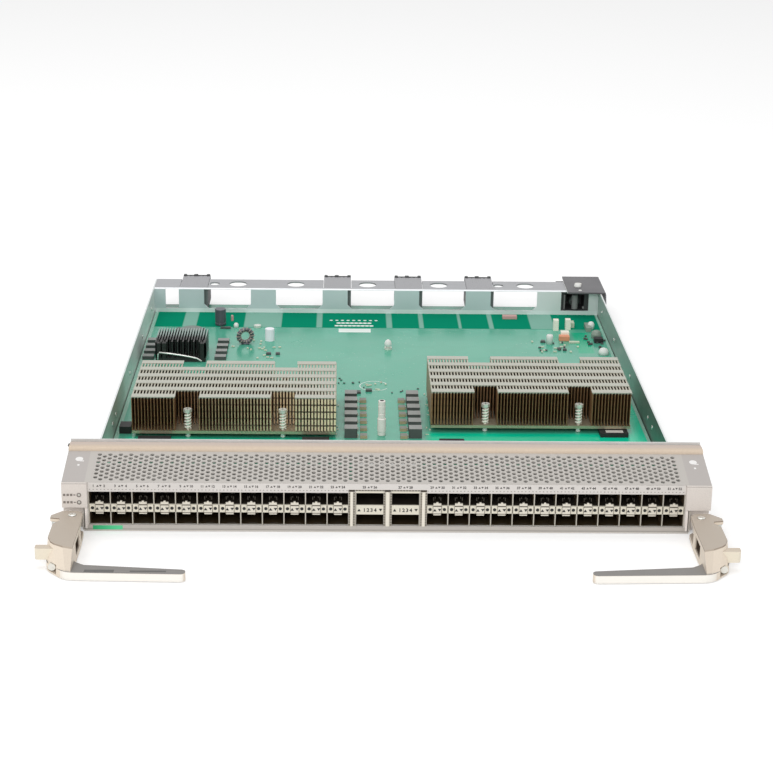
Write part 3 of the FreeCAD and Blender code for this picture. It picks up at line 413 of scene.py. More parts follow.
FINISHES = {
    "tray_steel": look(168, 176, 174, rough=0.42, metal=0.35, grain=700, stretch=(1, 0.08, 1),
        over=tray_areas),
    "board_laminate": look(*BOARD_SHEEN_MINT, rough=0.22, vary=0.03, grain=1500, bump=0.02, over=board_areas),
    "spacer_brass": look(196, 168, 104, rough=0.3, metal=0.9),
    "screw_steel": look(228, 226, 218, rough=0.32, metal=0.35, vary=0.05),
    "beam_steel": look(168, 169, 172, rough=0.4, metal=0.3, grain=650, stretch=(0.08, 1, 1),
        over=beam_areas),
    "panel_paint": look(214, 208, 202, grain=1600, bump=0.25, over=panel_areas),
    "screen_steel": look(198, 193, 187, rough=0.45, grain=1500, bump=0.2, over=slope_areas),
    "rail_steel": look(214, 214, 212, rough=0.38, metal=0.25, grain=700, stretch=(0.1, 1, 1)),
    "gasket_fabric": look(214, 196, 176, rough=0.75, vary=0.05, grain=2400, bump=0.5,
        over=lambda finish: gasket_areas(finish) + weave(finish)),
    "bracket_paint": look(224, 216, 209, grain=1600, bump=0.25),
    "cage_steel": look(205, 206, 203, rough=0.34, metal=0.6, grain=800, stretch=(1, 0.1, 1),
        over=cage_areas),
    # Cage walls in painted shade behind their front edges.
    "wall_steel": look(186, 180, 168, rough=0.36, metal=0.3,
        over=lambda finish: [(finish.along("Y", 0.8, 2.4), rgb(104, 88, 66))]),
    # Separators in painted shade behind their front edges.
    "strip_plastic": look(226, 220, 203, vary=0.05,
        over=lambda finish: [(finish.along("Y", 1.2, 2), rgb(40, 34, 28))]),
    "socket_black": look(26, 24, 22, rough=0.55, vary=0.2),
    "latch_steel": look(222, 216, 202, rough=0.38, metal=0.25, vary=0.05),
    "plug_grey": look(166, 166, 169, rough=0.55, grain=1800, bump=0.2, over=plug_areas),
    "guide_cast": look(66, 67, 68, grain=1400, bump=0.4),
    "sleeve_steel": look(84, 86, 86, rough=0.35, metal=0.5),
    "cover_paint": look(90, 89, 92, rough=0.45, grain=1500, bump=0.25),
    "sink_base_metal": look(176, 166, 142, rough=0.36, metal=0.6, stretch=(0.1, 1, 1)),
    "fin_metal": look(146, 110, 76, rough=0.42, metal=0.15, vary=0.1, scale=18, stretch=(1, 1, 0.1),
        over=fin_areas),
    "tie_strip_metal": look(186, 186, 174, rough=0.42, metal=0.4, vary=0.06, grain=700,
        stretch=(0.1, 1, 1)),
    "spring_steel": look(248, 245, 234, rough=0.35, vary=0.03),
    "package_black": look(30, 31, 32, rough=0.7, grain=1500, bump=0.2, over=package_areas),
    "sink_black": look(24, 24, 22, rough=0.42, stretch=(1, 0.1, 1), bump=0.25, over=black_sink_areas),
    "clip_wire": look(232, 231, 226, rough=0.25, metal=0.6, vary=0.04),
    "ferrite_grey": look(78, 82, 80, rough=0.6, grain=1700, bump=0.5, vary=0.12, over=ferrite_areas),
    "can_metal": look(98, 98, 106, rough=0.32, metal=0.5),
    "socket_cream": look(240, 236, 222, over=socket_areas),
    "post_nickel": look(242, 236, 230, rough=0.4),
    "lever_cast": look(236, 222, 204, rough=0.48, grain=1300, bump=0.35, vary=0.05, over=lever_areas),
    "pin_steel": look(226, 225, 219, rough=0.24, metal=0.7, vary=0.04),
    # Painted shade on the button's top faces.
    "button_plastic": look(236, 226, 206, rough=0.42, grain=1600, vary=0.04,
        over=lambda finish: [(finish.facing("Z", 0.6, 0.9), rgb(204, 190, 172))]),
}
EXTRA = {
    "ink_black": look(30, 29, 28, rough=0.6, vary=0.1),
    "ink_grey": look(62, 58, 56, rough=0.6),
    "dash_grey": look(168, 162, 156, rough=0.6),
    "rim_grey": look(128, 120, 114),
    # Painted shade for the thin gaps around the latch tabs and beside the wide ports.
    "gap_shade_brown": look(72, 62, 50, rough=0.6, vary=0.1),
    # Cage springs in painted shade.
    "spring_dim": look(50, 44, 34, vary=0.1),
    "post_light": look(236, 229, 214, rough=0.42, vary=0.03),
    "side_grey": look(166, 160, 148, rough=0.45, metal=0.2),
    "mark_light": look(236, 234, 232, vary=0.03),
    "blank_grey": look(96, 95, 93, vary=0.1),
    "part_dark": look(74, 80, 78, vary=0.14),
    "part_pale": look(200, 208, 186, vary=0.1),
    "part_sage": look(136, 150, 138, vary=0.12),
    "part_pink": look(208, 164, 160),
    "wire_brown": look(168, 162, 150, rough=0.4, metal=0.4, vary=0.14),
    "label_white": look(218, 213, 208, rough=0.42, vary=0.03, bump=0.05),
    "label_green": look(30, 176, 112, rough=0.4, vary=0.04, bump=0.05,
        over=lambda finish: [(finish.along("X", -194, -178), rgb(86, 208, 148))]),
    "silk_white": look(232, 240, 235, rough=0.6, vary=0.04),
    "lamp_lens": look(206, 204, 196, rough=0.15, coat=0.6, vary=0.03),
    "part_white": look(226, 228, 224, rough=0.45, vary=0.05),
    "part_orange": look(224, 150, 116, rough=0.45, vary=0.06),
    "boss_grey": look(136, 134, 134),
    "cell_steel": look(114, 123, 117, rough=0.3, metal=0.6, grain=600, stretch=(0.1, 1, 1)),
}
materials = {name: surface(name, **given) for name, given in {**FINISHES, **EXTRA}.items()}

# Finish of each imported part, by its name without side and number.
SLOTS = {
    "chassis_tray": "tray_steel", "main_circuit_board": "board_laminate",
    "board_standoffs": "spacer_brass", "pan_head_screws": "screw_steel", "rear_beam": "beam_steel",
    "faceplate": "panel_paint", "perforated_screen": "screen_steel", "gasket_rail": "rail_steel",
    "emi_gasket": "gasket_fabric", "end_bracket": "bracket_paint", "cage_shell": "cage_steel",
    "cage_dividers": "wall_steel", "port_separators": "strip_plastic", "host_connectors": "socket_black",
    "port_latches": "latch_steel", "backplane_connector": "plug_grey", "guide_block": "guide_cast",
    "guide_sleeve": "sleeve_steel", "guide_cover": "cover_paint", "heat_sink_base": "sink_base_metal",
    "heat_sink_fins": "fin_metal", "heat_sink_strips": "tie_strip_metal", "switch_chip": "package_black",
    "heat_sink_screws": "screw_steel", "heat_sink_springs": "spring_steel",
    "small_heat_sink": "sink_black", "small_heat_sink_clip": "clip_wire",
    "power_inductors": "ferrite_grey", "power_stages": "package_black",
    "surface_chips": "package_black", "can_capacitors": "can_metal", "board_sockets": "socket_cream",
    "tall_standoff": "post_nickel", "lever": "lever_cast", "lever_pivot_pins": "pin_steel",
    "release_button": "button_plastic", "release_spring": "spring_steel", "latch_screw": "screw_steel",
}
for name, thing in nodes.items():
    plain = re.sub(r"^(left|right|qsfp)_|_\d$", "", name)
    thing.data.materials.clear()
    thing.data.materials.append(materials[SLOTS[plain]])


# Mesh building


def around(radius, step, steps, start=0):
    """Pair of coordinates on a circle, a number of steps around it."""
    angle = 2 * math.pi * step / steps + start
    return radius * math.cos(angle), radius * math.sin(angle)


def rounded(thing, width):
    """Rounds the sharp corners of an object by a width in millimetres."""
    rounding = thing.modifiers.new("edges", "BEVEL")
    rounding.width = width * MM
    rounding.segments = 2
    rounding.limit_method = "ANGLE"
    return rounding


class Shape:
    """Faces gathered in millimetres and made into one piece."""

    def __init__(self):
        self.points = []
        self.faces = []

    def add(self, points, faces):
        first = len(self.points)
        self.points += [tuple(point) for point in points]
        self.faces += [[first + index for index in face] for face in faces]

    def box(self, x, y, z):
        """Block between two limits along each axis."""
        corners = [(a, b, c) for c in z for b in y for a in x]
        self.add(corners, [
            (0, 2, 3, 1), (4, 5, 7, 6), (0, 1, 5, 4), (2, 6, 7, 3), (0, 4, 6, 2), (1, 3, 7, 5),
        ])

    def skin(self, points, sides):
        """Closed surface over rings of points that follow each other."""
        last = len(points) - sides
        faces = []
        for ring in range(0, last, sides):
            for step in range(sides):
                after = (step + 1) % sides
                faces.append((ring + step, ring + after, ring + sides + after, ring + sides + step))
        faces.append(tuple(range(sides - 1, -1, -1)))
        faces.append(tuple(last + step for step in range(sides)))
        self.add(points, faces)

    def row(self, x, limits):
        """Blocks around a place along X, each from its limits along X from there, Y and Z."""
        for across, y, z in limits:
            self.box([x + edge for edge in across], y, z)

    def lathe(self, centre, profile, sides=24, axis="z"):
        """Turned solid: radius and level pairs around an axis through the centre."""
        rings = []
        for radius, level in profile:
            for step in range(sides):
                a, b = around(radius, step, sides)
                spot = {"z": (a, b, level), "y": (a, level, b), "x": (level, a, b)}[axis]
                rings.append([centre[n] + spot[n] for n in range(3)])
        self.skin(rings, sides)

    def tube(self, path, radius, sides=8):
        """Round wire along a line of points."""
        path = [Vector(point) for point in path]
        rings = []
        for index, point in enumerate(path):
            ahead = path[min(index + 1, len(path) - 1)] - path[max(index - 1, 0)]
            ahead.normalize()
            side = ahead.cross(Vector((0.31, 0.17, 0.93)))
            side.normalize()
            up = ahead.cross(side)
            for step in range(sides):
                a, b = around(radius, step, sides)
                rings.append(point + side * a + up * b)
        self.skin(rings, sides)

    def text(self, words, x, z, height, y, weight=0):
        """Plain characters facing the front, centred on X; weight thickens their strokes."""
        curve = bpy.data.curves.new("characters", "FONT")
        curve.body = words
        curve.align_x = "CENTER"
        curve.resolution_u = 2
        curve.size = height * 1.4
        curve.offset = weight
        holder = bpy.data.objects.new("characters", curve)
        mesh = bpy.data.meshes.new_from_object(holder)
        self.add(
            [(x + point.co.x, y, z + point.co.y) for point in mesh.vertices],
            [tuple(face.vertices) for face in mesh.polygons],
        )
        bpy.data.objects.remove(holder)
        bpy.data.meshes.remove(mesh)

    def piece(self, name, finish, body="card", replaces=None, smooth=False, bevel=0):
        mesh = bpy.data.meshes.new(name)
        mesh.from_pydata([[value * MM for value in point] for point in self.points], [], self.faces)
        mesh.materials.append(materials[finish])
        if smooth:
            mesh.shade_smooth()
        mesh.update()
        thing = bpy.data.objects.new(name, mesh)
        bpy.context.scene.collection.objects.link(thing)
        if bevel:
            rounded(thing, bevel)
        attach(thing, body)
        if replaces:
            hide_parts(replaces)
        return thing


def blocks(name, finish, limits, **options):
    """Piece made of plain blocks, each from its limits along X, Y and Z."""
    shape = Shape()
    for x, y, z in limits:
        shape.box(x, y, z)
    shape.piece(name, finish, **options)


# Perforated slope

SLOPE_RISE = 7.9
SLOPE_RUN = 36.3
SLOPE = math.atan2(SLOPE_RISE, SLOPE_RUN)
SLOPE_LENGTH = math.hypot(SLOPE_RISE, SLOPE_RUN)
SLOPE_BASE = 34.6
SLOPE_SHEET = 1
SLOPE_HALF = 214
CELL_WIDTH = 3.5
CELL_DEPTH = 4.5
CELL_START = 1.5
CELL_ROWS = 7
COLUMNS_EACH_SIDE = 55
HOLE_SIDES = 10
HOLE_RADIUS = 1.5
END_MARK = (205.6, 27.4)
END_MARK_RADIUS = 2.6
INK_HEIGHT = 0.05


def on_slope(x, along, depth=0):
    """Point on the sloped sheet, a distance along it and below its top."""
    return (
        x,
        along * math.cos(SLOPE) + depth * math.sin(SLOPE),
        SLOPE_BASE + along * math.sin(SLOPE) - depth * math.cos(SLOPE),
    )


def slope_block(shape, x, along, depth=(0, SLOPE_SHEET)):
    corners = [on_slope(a, b, c) for c in depth for b in along for a in x]
    shape.add(corners, [
        (0, 1, 3, 2), (4, 6, 7, 5), (0, 4, 5, 1), (2, 3, 7, 6), (0, 2, 6, 4), (1, 5, 7, 3),
    ])


def hole_cell():
    """Offsets of the points of one cell in the sheet, and its faces: above, below and in the hole."""
    n = HOLE_SIDES
    turns = [around(1, step, n, math.pi / n) for step in range(n)]
    spots = []
    for a, b in turns:
        reach = min(CELL_WIDTH / 2 / max(abs(a), 1e-6), CELL_DEPTH / 2 / max(abs(b), 1e-6))
        spots.append((a * reach, b * reach))
    spots += [(HOLE_RADIUS * a, HOLE_RADIUS * b) for a, b in turns]
    spots += [(a * CELL_WIDTH / 2, b * CELL_DEPTH / 2) for a, b in ((-1, -1), (1, -1), (1, 1), (-1, 1))]
    below = len(spots)
    faces = []
    for step in range(n):
        after = (step + 1) % n
        for base in (0, below):
            faces.append((base + step, base + after, base + n + after, base + n + step))
        faces.append((n + step, n + after, below + n + after, below + n + step))
    for corner in range(2 * n, below):
        near = sorted(range(n), key=lambda spot: math.dist(spots[spot], spots[corner]))
        for base in (0, below):
            faces.append((base + near[0], base + corner, base + near[1]))
    return spots, faces


def make_slope():
    """Sheet of hole cells in offset columns, with plain edges and ends and a mark on each end."""
    shape = Shape()
    spots, faces = hole_cell()
    both_sides = [(a, b, depth) for depth in (0, SLOPE_SHEET) for a, b in spots]
    end = CELL_START + CELL_ROWS * CELL_DEPTH + CELL_DEPTH / 2
    for column in range(-COLUMNS_EACH_SIDE, COLUMNS_EACH_SIDE + 1):
        x = column * CELL_WIDTH
        odd = column % 2
        start = CELL_START + (CELL_DEPTH / 2 if odd else 0)
        for row in range(CELL_ROWS):
            along = start + CELL_DEPTH * (row + 0.5)
            shape.add([on_slope(x + a, along + b, depth) for a, b, depth in both_sides], faces)
        plain = (CELL_START, start) if odd else (end - CELL_DEPTH / 2, end)
        slope_block(shape, (x - CELL_WIDTH / 2, x + CELL_WIDTH / 2), plain)
    field = (COLUMNS_EACH_SIDE + 0.5) * CELL_WIDTH
    slope_block(shape, (-field, field), (0, CELL_START))
    slope_block(shape, (-field, field), (end, SLOPE_LENGTH))
    for side in (-1, 1):
        slope_block(shape, sorted((side * field, side * SLOPE_HALF)), (0, SLOPE_LENGTH))
    shape.piece("perforated_slope", "screen_steel", replaces="perforated_screen")

    marks = Shape()
    for side in (-1, 1):
        centre = side * END_MARK[0]
        disc = []
        for step in range(14):
            a, b = around(END_MARK_RADIUS, step, 14)
            disc.append(on_slope(centre + a, END_MARK[1] + b, -INK_HEIGHT))
        marks.add(disc, [tuple(range(14))])
        slope_block(marks, (centre + 0.6, centre + 3.4), (24.6, 25.6), (-INK_HEIGHT, 0))
        slope_block(marks, (centre - 0.4, centre + 1), (19.4, 21.2), (-INK_HEIGHT, 0))
    marks.piece("slope_end_marks", "mark_light")


# Port panel details

COLUMN_PITCH = 14.25
OUTER_COLUMN = 196.7
PORT_COLUMNS = 12
DASHES = 6
FILM_FACE = -0.12
INK_FACE = FILM_FACE - 0.04
FILM_TOP = 34.45
FILM_HALF = 197
WIDE_HALF = 25.9
LATCH_FACE = -0.74
LATCH_RELIEF = (-0.78, LATCH_FACE)
SIDE_RELIEF = (-0.05, -0.01)
STRIP_MARK_FACE = -0.54
COLUMN_CENTRES = [
    side * (OUTER_COLUMN - COLUMN_PITCH * (n + 0.5)) for side in (-1, 1) for n in range(PORT_COLUMNS)
]
WIDE_CENTRES = (-11.75, 11.75)

# Around each port column: limits across it, in depth and in height.
LATCH_TABS = (
    ((-2.6, 2.6), (-1, 0.3), (19.7, 21.1)), ((-0.7, 0.7), (-0.85, 0.2), (21, 21.9)),
    ((-2.5, 2.5), (-0.85, 0.2), (12.7, 13.45)), ((-2.75, 2.75), (LATCH_FACE, -0.04), (13.4, 19.7)),
)
LATCH_GAPS = (
    ((-2.7, 2.7), LATCH_RELIEF, (18.8, 19.5)), ((-2.7, 2.7), LATCH_RELIEF, (13.45, 13.95)),
    ((-2.95, -2.7), LATCH_RELIEF, (13.6, 19.2)), ((2.7, 2.95), LATCH_RELIEF, (13.6, 19.2)),
    ((-7, -6.7), SIDE_RELIEF, (14, 18.9)), ((6.7, 7), SIDE_RELIEF, (14, 18.9)),
)
PORT_SPRINGS = (
    ((-0.4, 3), (2.2, 2.5), (26.6, 26.9)), ((-2.6, -2.1), (2.2, 2.6), (21.8, 24.2)),
    ((-1.5, -1.1), (2.2, 2.6), (23.4, 24.6)), ((2.1, 2.6), (2.2, 2.6), (21.8, 24.2)),
    ((1.1, 1.5), (2.2, 2.6), (23.4, 24.6)), ((-1.6, 3.6), (2.2, 2.5), (5.3, 5.6)),
)


def arrows(shape, rising, falling, z, size, y):
    """Two triangles, at two places along X: one points up and the other down."""
    for x, half in ((rising, size / 2), (falling, -size / 2)):
        low = z - half
        shape.add([(x - size * 0.62, y, low), (x + size * 0.62, y, low), (x, y, z + half)], [(0, 1, 2)])


def make_number_strip():
    """Film with the port numbers over each column, and a row of small dashes under them."""
    film = (FILM_FACE, 0)
    blocks("number_strip", "label_white", (
        ((-FILM_HALF, -WIDE_HALF), film, (28.05, FILM_TOP)),
        ((WIDE_HALF, FILM_HALF), film, (28.05, FILM_TOP)),
        ((-WIDE_HALF, WIDE_HALF), film, (30.3, FILM_TOP)),
    ), bevel=0.04)
    ink = Shape()
    dashes = Shape()
    for number, x in enumerate(sorted(COLUMN_CENTRES + list(WIDE_CENTRES))):
        ink.text(str(2 * number + 1), x - 3.7, 31.4, 1.65, INK_FACE, 0.09)
        ink.text(str(2 * number + 2), x + 3.5, 31.4, 1.65, INK_FACE, 0.09)
        arrows(ink, x - 0.9, x + 1, 32.2, 1.3, INK_FACE)
        if x not in WIDE_CENTRES:
            for n in range(DASHES):
                left = x - 6.6 + 2.42 * n
                dashes.box((left, left + 0.85), (INK_FACE, FILM_FACE), (29.35, 29.95))
    ink.piece("port_numbers", "ink_grey")
    dashes.piece("film_dashes", "dash_grey")


def make_port_columns():
    """Latch tabs, arrow marks and thin gaps in painted shade on the strip between the port rows, and cage
    springs in painted shade.
    """
    bright = Shape()
    dark = Shape()
    marks = Shape()
    dim = Shape()
    for x in COLUMN_CENTRES:
        bright.row(x, LATCH_TABS)
        dark.row(x, LATCH_GAPS)
        dim.row(x, PORT_SPRINGS)
        for step in (-4.75, 4.75):
            marks.lathe((x + step, 0, 16.5), [(1.15, -0.02), (1.1, -0.12)], 14, "y")
        arrows(marks, x - 1.6, x + 1.6, 16.4, 1.9, -0.8)
    bright.piece("latch_tabs", "latch_steel", replaces="port_latches", bevel=0.06)
    dark.piece("latch_gaps", "gap_shade_brown")
    marks.piece("port_arrows", "ink_black")
    dim.piece("port_springs", "spring_dim")


def make_wide_ports():
    """Rounded posts beside the four wide ports, their strips, painted shade in the gaps beside the posts
    and at the head, and number marks.
    """
    posts = Shape()
    sides = Shape()
    dark = Shape()
    for x, half in ((-23.75, 0.95), (0, 1.25), (23.75, 1.1)):
        posts.box((x - half, x + half), (-1, 0), (4.35, 28.9))
        dark.box((x - 2.1, x + 2.1), (-0.1, 0), (28.9, 30.3))
    for across in (
        (-WIDE_HALF, -24.7), (-22.8, -20.7), (-2.8, -1.25), (1.25, 2.8), (20.7, 22.65), (24.85, WIDE_HALF),
    ):
        sides.box(across, (-0.08, 0.5), (4.4, 28.6))
    for x in (-25.3, -22.2, -2.2, 2.2, 22.3, 25.3):
        for n in range(13):
            dark.box((x - 0.35, x + 0.35), (-0.12, -0.08), (4.9 + 1.85 * n, 5.75 + 1.85 * n))
    sides.box((-WIDE_HALF, WIDE_HALF), (-0.06, 0), (29.2, 30.3))
    for n in range(26):
        left = -24.9 + 1.95 * n
        dark.box((left, left + 1.1), (-0.1, -0.06), (29.5, 30.15))
    lips = Shape()
    for x in WIDE_CENTRES:
        lips.box((x - 9, x + 9), (-0.12, 0.4), (28, 29.2))
        lips.box((x - 8.95, x + 8.95), (-0.5, 0.3), (12.9, 19.5))
    posts.piece("wide_port_posts", "post_light", bevel=0.55)
    sides.piece("wide_port_sides", "side_grey", bevel=0.04)
    dark.piece("wide_port_gaps", "gap_shade_brown")
    lips.piece("wide_port_strips", "strip_plastic", bevel=0.1)

    marks = Shape()
    for x in WIDE_CENTRES:
        for n in range(4):
            marks.text(str(n + 1), x - 3.6 + 2.4 * n, 14.9, 2.5, STRIP_MARK_FACE, 0.11)
        arrows(marks, x - 7.1, x + 7.1, 16.1, 1.9, STRIP_MARK_FACE)
    marks.piece("wide_port_marks", "ink_black")


def make_sill_label():
    blocks("sill_label", "label_green", [((-194.5, -174.9), (-0.1, 0), (1.15, 4.05))], bevel=0.04)


CAP_FACE = -2
LAMP_ACROSS = -202.6
LAMP_LEVELS = (26.4, 21.2)


def make_status_lamps():
    """Two lamps on the left cap with plain strokes beside them, and the seam at the top of both caps."""
    lamps = Shape()
    rims = Shape()
    strokes = (-2.06, CAP_FACE)
    x = LAMP_ACROSS
    for z in LAMP_LEVELS:
        rims.lathe((x, 0, z), [
            (1.5, CAP_FACE), (1.5, -2.25), (1.25, -2.38), (0.95, -2.28), (0.95, -2.05),
        ], 24, "y")
        lamps.lathe((x, 0, z), [(0.95, CAP_FACE), (0.85, -2.16), (0.4, -2.26)], 20, "y")
        for n in range(3):
            rims.box((-213 + 2.3 * n, -211.4 + 2.3 * n), strokes, (z - 0.8, z + 0.8))
        rims.box((-206.2, -204.8), strokes, (z - 0.35, z + 0.35))
    rims.piece("status_lamp_rims", "rim_grey")
    lamps.piece("status_lamps", "lamp_lens", smooth=True)
    blocks("cap_seams", "rim_grey", [
        (across, (-2.04, CAP_FACE), (34.15, 34.4)) for across in ((-213.6, -197.4), (197.4, 213.6))
    ])


# Heat sinks

SINKS = ((-186, 161.2), (36, 176.7))
SINK_WIDTH = 150.4
SINK_DEPTH = 85
FINS = 64
FIN = 0.42
FIN_LIP = 1.05
NOTCHES = (41.1, 111.5)
NOTCH_HALF = 8.9
NOTCH_DEPTH = 15.2
FIN_FOOT = 10.4
FIN_TOP = 36.1
SCREW_INSET = 4.2
COIL_RADIUS = 2.1
COIL_TURNS = 5.5
COIL_STEPS = 96
COIL_FOOT = 10.9
COIL_LENGTH = 12.6


def in_notch(offset):
    return any(abs(offset - notch) < NOTCH_HALF for notch in NOTCHES)


def make_fins():
    """Folded fins at the fine pitch; they stand closer where the photographed fronts are paler."""
    for side, (left, front) in zip(("left", "right"), SINKS):
        shape = Shape()
        rear = front + SINK_DEPTH
        for n in range(FINS):
            offset = n * (SINK_WIDTH - FIN_LIP) / (FINS - 1)
            inset = NOTCH_DEPTH if in_notch(offset + FIN_LIP / 2) else 0
            x = left + offset
            glow = offset / SINK_WIDTH if side == "left" else max(0, 0.8 - 2 * offset / SINK_WIDTH)
            wide = FIN + 1.1 * glow * glow
            depth = (front + inset, rear - inset)
            shape.box((x, x + wide), depth, (FIN_FOOT, FIN_TOP))
            shape.box((x, x + FIN_LIP), depth, (FIN_TOP, FIN_TOP + 0.3))
            shape.box((x, x + FIN_LIP), depth, (FIN_FOOT, FIN_FOOT + 0.5))
        shape.piece(side + "_fine_fins", "fin_metal", replaces=side + "_heat_sink_fins")


def make_springs():
    """Coils under the heads of the sink screws, flat marks painted in the shade of the cross recesses in
    the heads, and ringed feet.
    """
    coils = Shape()
    feet = Shape()
    shaded_recess = Shape()
    screws = [
        (left + notch, y) for left, front in SINKS for notch in NOTCHES
        for y in (front + SCREW_INSET, front + SINK_DEPTH - SCREW_INSET)
    ]
    for x, y in screws:
        path = []
        for n in range(COIL_STEPS + 1):
            a, b = around(COIL_RADIUS, COIL_TURNS * n, COIL_STEPS)
            path.append((x + a, y + b, COIL_FOOT + COIL_LENGTH * n / COIL_STEPS))
        coils.tube(path, 0.62, 6)
        for a, b in ((1.7, 0.35), (0.35, 1.7)):
            shaded_recess.box((x - a, x + a), (y - b, y + b), (26.38, 26.45))
        for level in (4.6, 6.4):
            ring = [(1.4, level), (1.9, level + 0.3), (1.9, level + 1.2), (1.4, level + 1.5)]
            feet.lathe((x, y, 0), ring, 14)
    feet.piece("sink_screw_feet", "part_white")
    coils.piece("spring_coils", "spring_steel", replaces="heat_sink_springs", smooth=True)
    shaded_recess.piece("sink_screw_recess_shade", "part_sage")


# Board details

BOARD_TOP = 4.5


def scatter(shape, area, count, size, height):
    """Small upright parts at seeded spots in an area, lined up with the board."""
    for _ in range(count):
        x = chance.uniform(area[0], area[1])
        y = chance.uniform(area[2], area[3])
        half = (size[0] / 2, size[1] / 2)
        if chance.random() < 0.5:
            half = (half[1], half[0])
        shape.box((x - half[0], x + half[0]), (y - half[1], y + half[1]), (BOARD_TOP, BOARD_TOP + height))


# Scattered parts: area from X to X and Y to Y, how many, their size and their height.
RESISTORS = (
    ((-34, -8, 275, 300), 8, (1.8, 1), 0.8), ((4, 30, 262, 275), 6, (1.8, 1), 0.8),
    ((136, 160, 374, 402), 9, (2.2, 1.4), 1.2), ((178, 197, 380, 430), 12, (2.4, 1.6), 1.4),
)
CAPACITORS = (
    ((-40, -33, 166, 250), 12, (2.6, 1.2), 0.5), ((33, 38, 170, 262), 12, (2.6, 1.2), 0.5),
    ((-108, -84, 350, 384), 10, (2.4, 1.6), 0.9), ((-130, -98, 366, 400), 9, (2.4, 1.6), 0.9),
    ((132, 172, 372, 404), 12, (2.8, 1.6), 1), ((-20, 6, 268, 292), 9, (2.4, 1.4), 0.8),
)
# Larger dark parts: left and front edge, width and depth.
DARK_PARTS = (
    (-95, 359.5, 4, 3.5), (-87, 359.5, 3.5, 3.5), (-12, 267.5, 5, 4),
    (-22, 262.5, 6, 4.5), (141, 398, 3.4, 4), (153, 378, 3.2, 3.6),
    (157.5, 376, 3, 3), (-138, 431.5, 9, 2.4),
)
# White turned parts: place, sides and profile.
WHITE_PARTS = (
    (147.8, 396, 20, ((2.9, BOARD_TOP), (2.9, 11.5), (2.3, 12.6))),
    (191, 368, 24, ((4.5, BOARD_TOP), (4.3, 7.4), (3, 9.4), (1, 10.2))),
    (189, 440, 20, ((2.9, BOARD_TOP), (2.9, 9), (2, 10.6), (0.7, 11.2))),
    (8, 378, 24, ((1.4, 6.2), (2.9, 7.8), (3.1, 9.6), (2.3, 11.8), (0.8, 13))),
    (-124.5, 437, 16, ((2.2, BOARD_TOP), (2.2, 6.8), (1.5, 8.2), (0.5, 8.6))),
)


def make_small_parts():
    """Scattered and larger parts on the board, gathered by colour."""
    grey = Shape()
    for given in RESISTORS:
        scatter(grey, *given)
    for x, y, wide, deep in DARK_PARTS:
        grey.box((x, x + wide), (y, y + deep), (BOARD_TOP, 6.2))
    grey.piece("chip_resistors", "part_dark", bevel=0.12)

    pale = Shape()
    for given in CAPACITORS:
        scatter(pale, *given)
    pale.box((165, 174), (397, 400), (BOARD_TOP, 6))
    pale.box((171.5, 174.5), (442, 450), (BOARD_TOP, 9))
    pale.piece("chip_capacitors", "part_pale", bevel=0.12)

    round_parts = Shape()
    for x, y, sides, profile in WHITE_PARTS:
        round_parts.lathe((x, y, 0), profile, sides)
    round_parts.piece("white_parts", "part_white", smooth=True)

    blocks("orange_parts", "part_orange", [((157, 166), (403, 409), (BOARD_TOP, 9))], bevel=0.4)
    pink = Shape()
    pink.box((112.7, 125.7), (466.5, 472), (BOARD_TOP, 7.4))
    pink.lathe((-129, 456, 0), [(1.2, BOARD_TOP), (1.2, 9), (0.7, 9.8)], 14)
    pink.piece("pink_parts", "part_pink", bevel=0.2)
    mixed = Shape()
    mixed.lathe((190.5, 414, 0), [(4.4, BOARD_TOP), (4.6, 8), (3.4, 10.4), (1.2, 11.4)], 18)
    mixed.box((183.5, 188), (430, 446), (BOARD_TOP, 8.5))
    mixed.piece("grey_green_parts", "part_sage", bevel=0.3)


def make_coin_cell():
    """Round cell that lies flat in its dark holder."""
    cell = Shape()
    cell.lathe((-162, 419, 0), [(10, 5.6), (10, 8), (9.5, 8.5), (8.6, 8.4)], 40)
    cell.piece("coin_cell", "cell_steel")
    blocks("coin_cell_holder", "part_dark", (
        ((-174, -150), (414, 424), (BOARD_TOP, 5.6)),
        ((-175, -171.8), (415.5, 422.5), (BOARD_TOP, 8.8)),
    ), bevel=0.3)


CHOKE_MIDDLE = Vector((-114, 390, 11.6))
CHOKE_RADIUS = 5.6
CHOKE_TURNS = 14


def around_choke(step, steps):
    """Point on the ring's middle line; the ring stands up and is turned a little."""
    across, up = around(CHOKE_RADIUS, step, steps)
    return CHOKE_MIDDLE + Vector((across, 0.3 * across, up))


def make_choke():
    """Ring choke standing open around its middle, and the dark can behind it."""
    core = Shape()
    core.tube([around_choke(n, 32) for n in range(33)], 1.8, 10)
    core.box((-117.5, -110.5), (387.5, 392.5), (BOARD_TOP, 5.6))
    core.piece("choke_core", "can_metal", replaces="can_capacitors", smooth=True)
    winding = Shape()
    for n in range(CHOKE_TURNS):
        spot = around_choke(n, CHOKE_TURNS)
        out = (spot - CHOKE_MIDDLE).normalized()
        loop = []
        for k in range(11):
            a, b = around(2.1, k, 10)
            loop.append(spot + out * a + Vector((0, b, 0)))
        winding.tube(loop, 0.45, 5)
    winding.piece("choke_winding", "wire_brown", smooth=True)
    can = Shape()
    can.lathe((-138.6, 444, 0), [
        (4.4, BOARD_TOP), (4.8, 5.2), (4.8, 6.6), (4.4, 7), (4.8, 7.4), (4.8, 18.9), (4.5, 19.4),
        (3.9, 19.4),
    ], 28)
    can.piece("dark_can", "can_metal", replaces="can_capacitors")


# Printed dots at the rear: row's Y, first and last X, how many and their radius.
SILK_DOTS = (
    (443.6, -36, -5.5, 9, 2.1), (451.6, -34.3, -7.2, 8, 2.1), (459.6, -41, -1, 9, 1.5),
)
RING_STEPS = 24


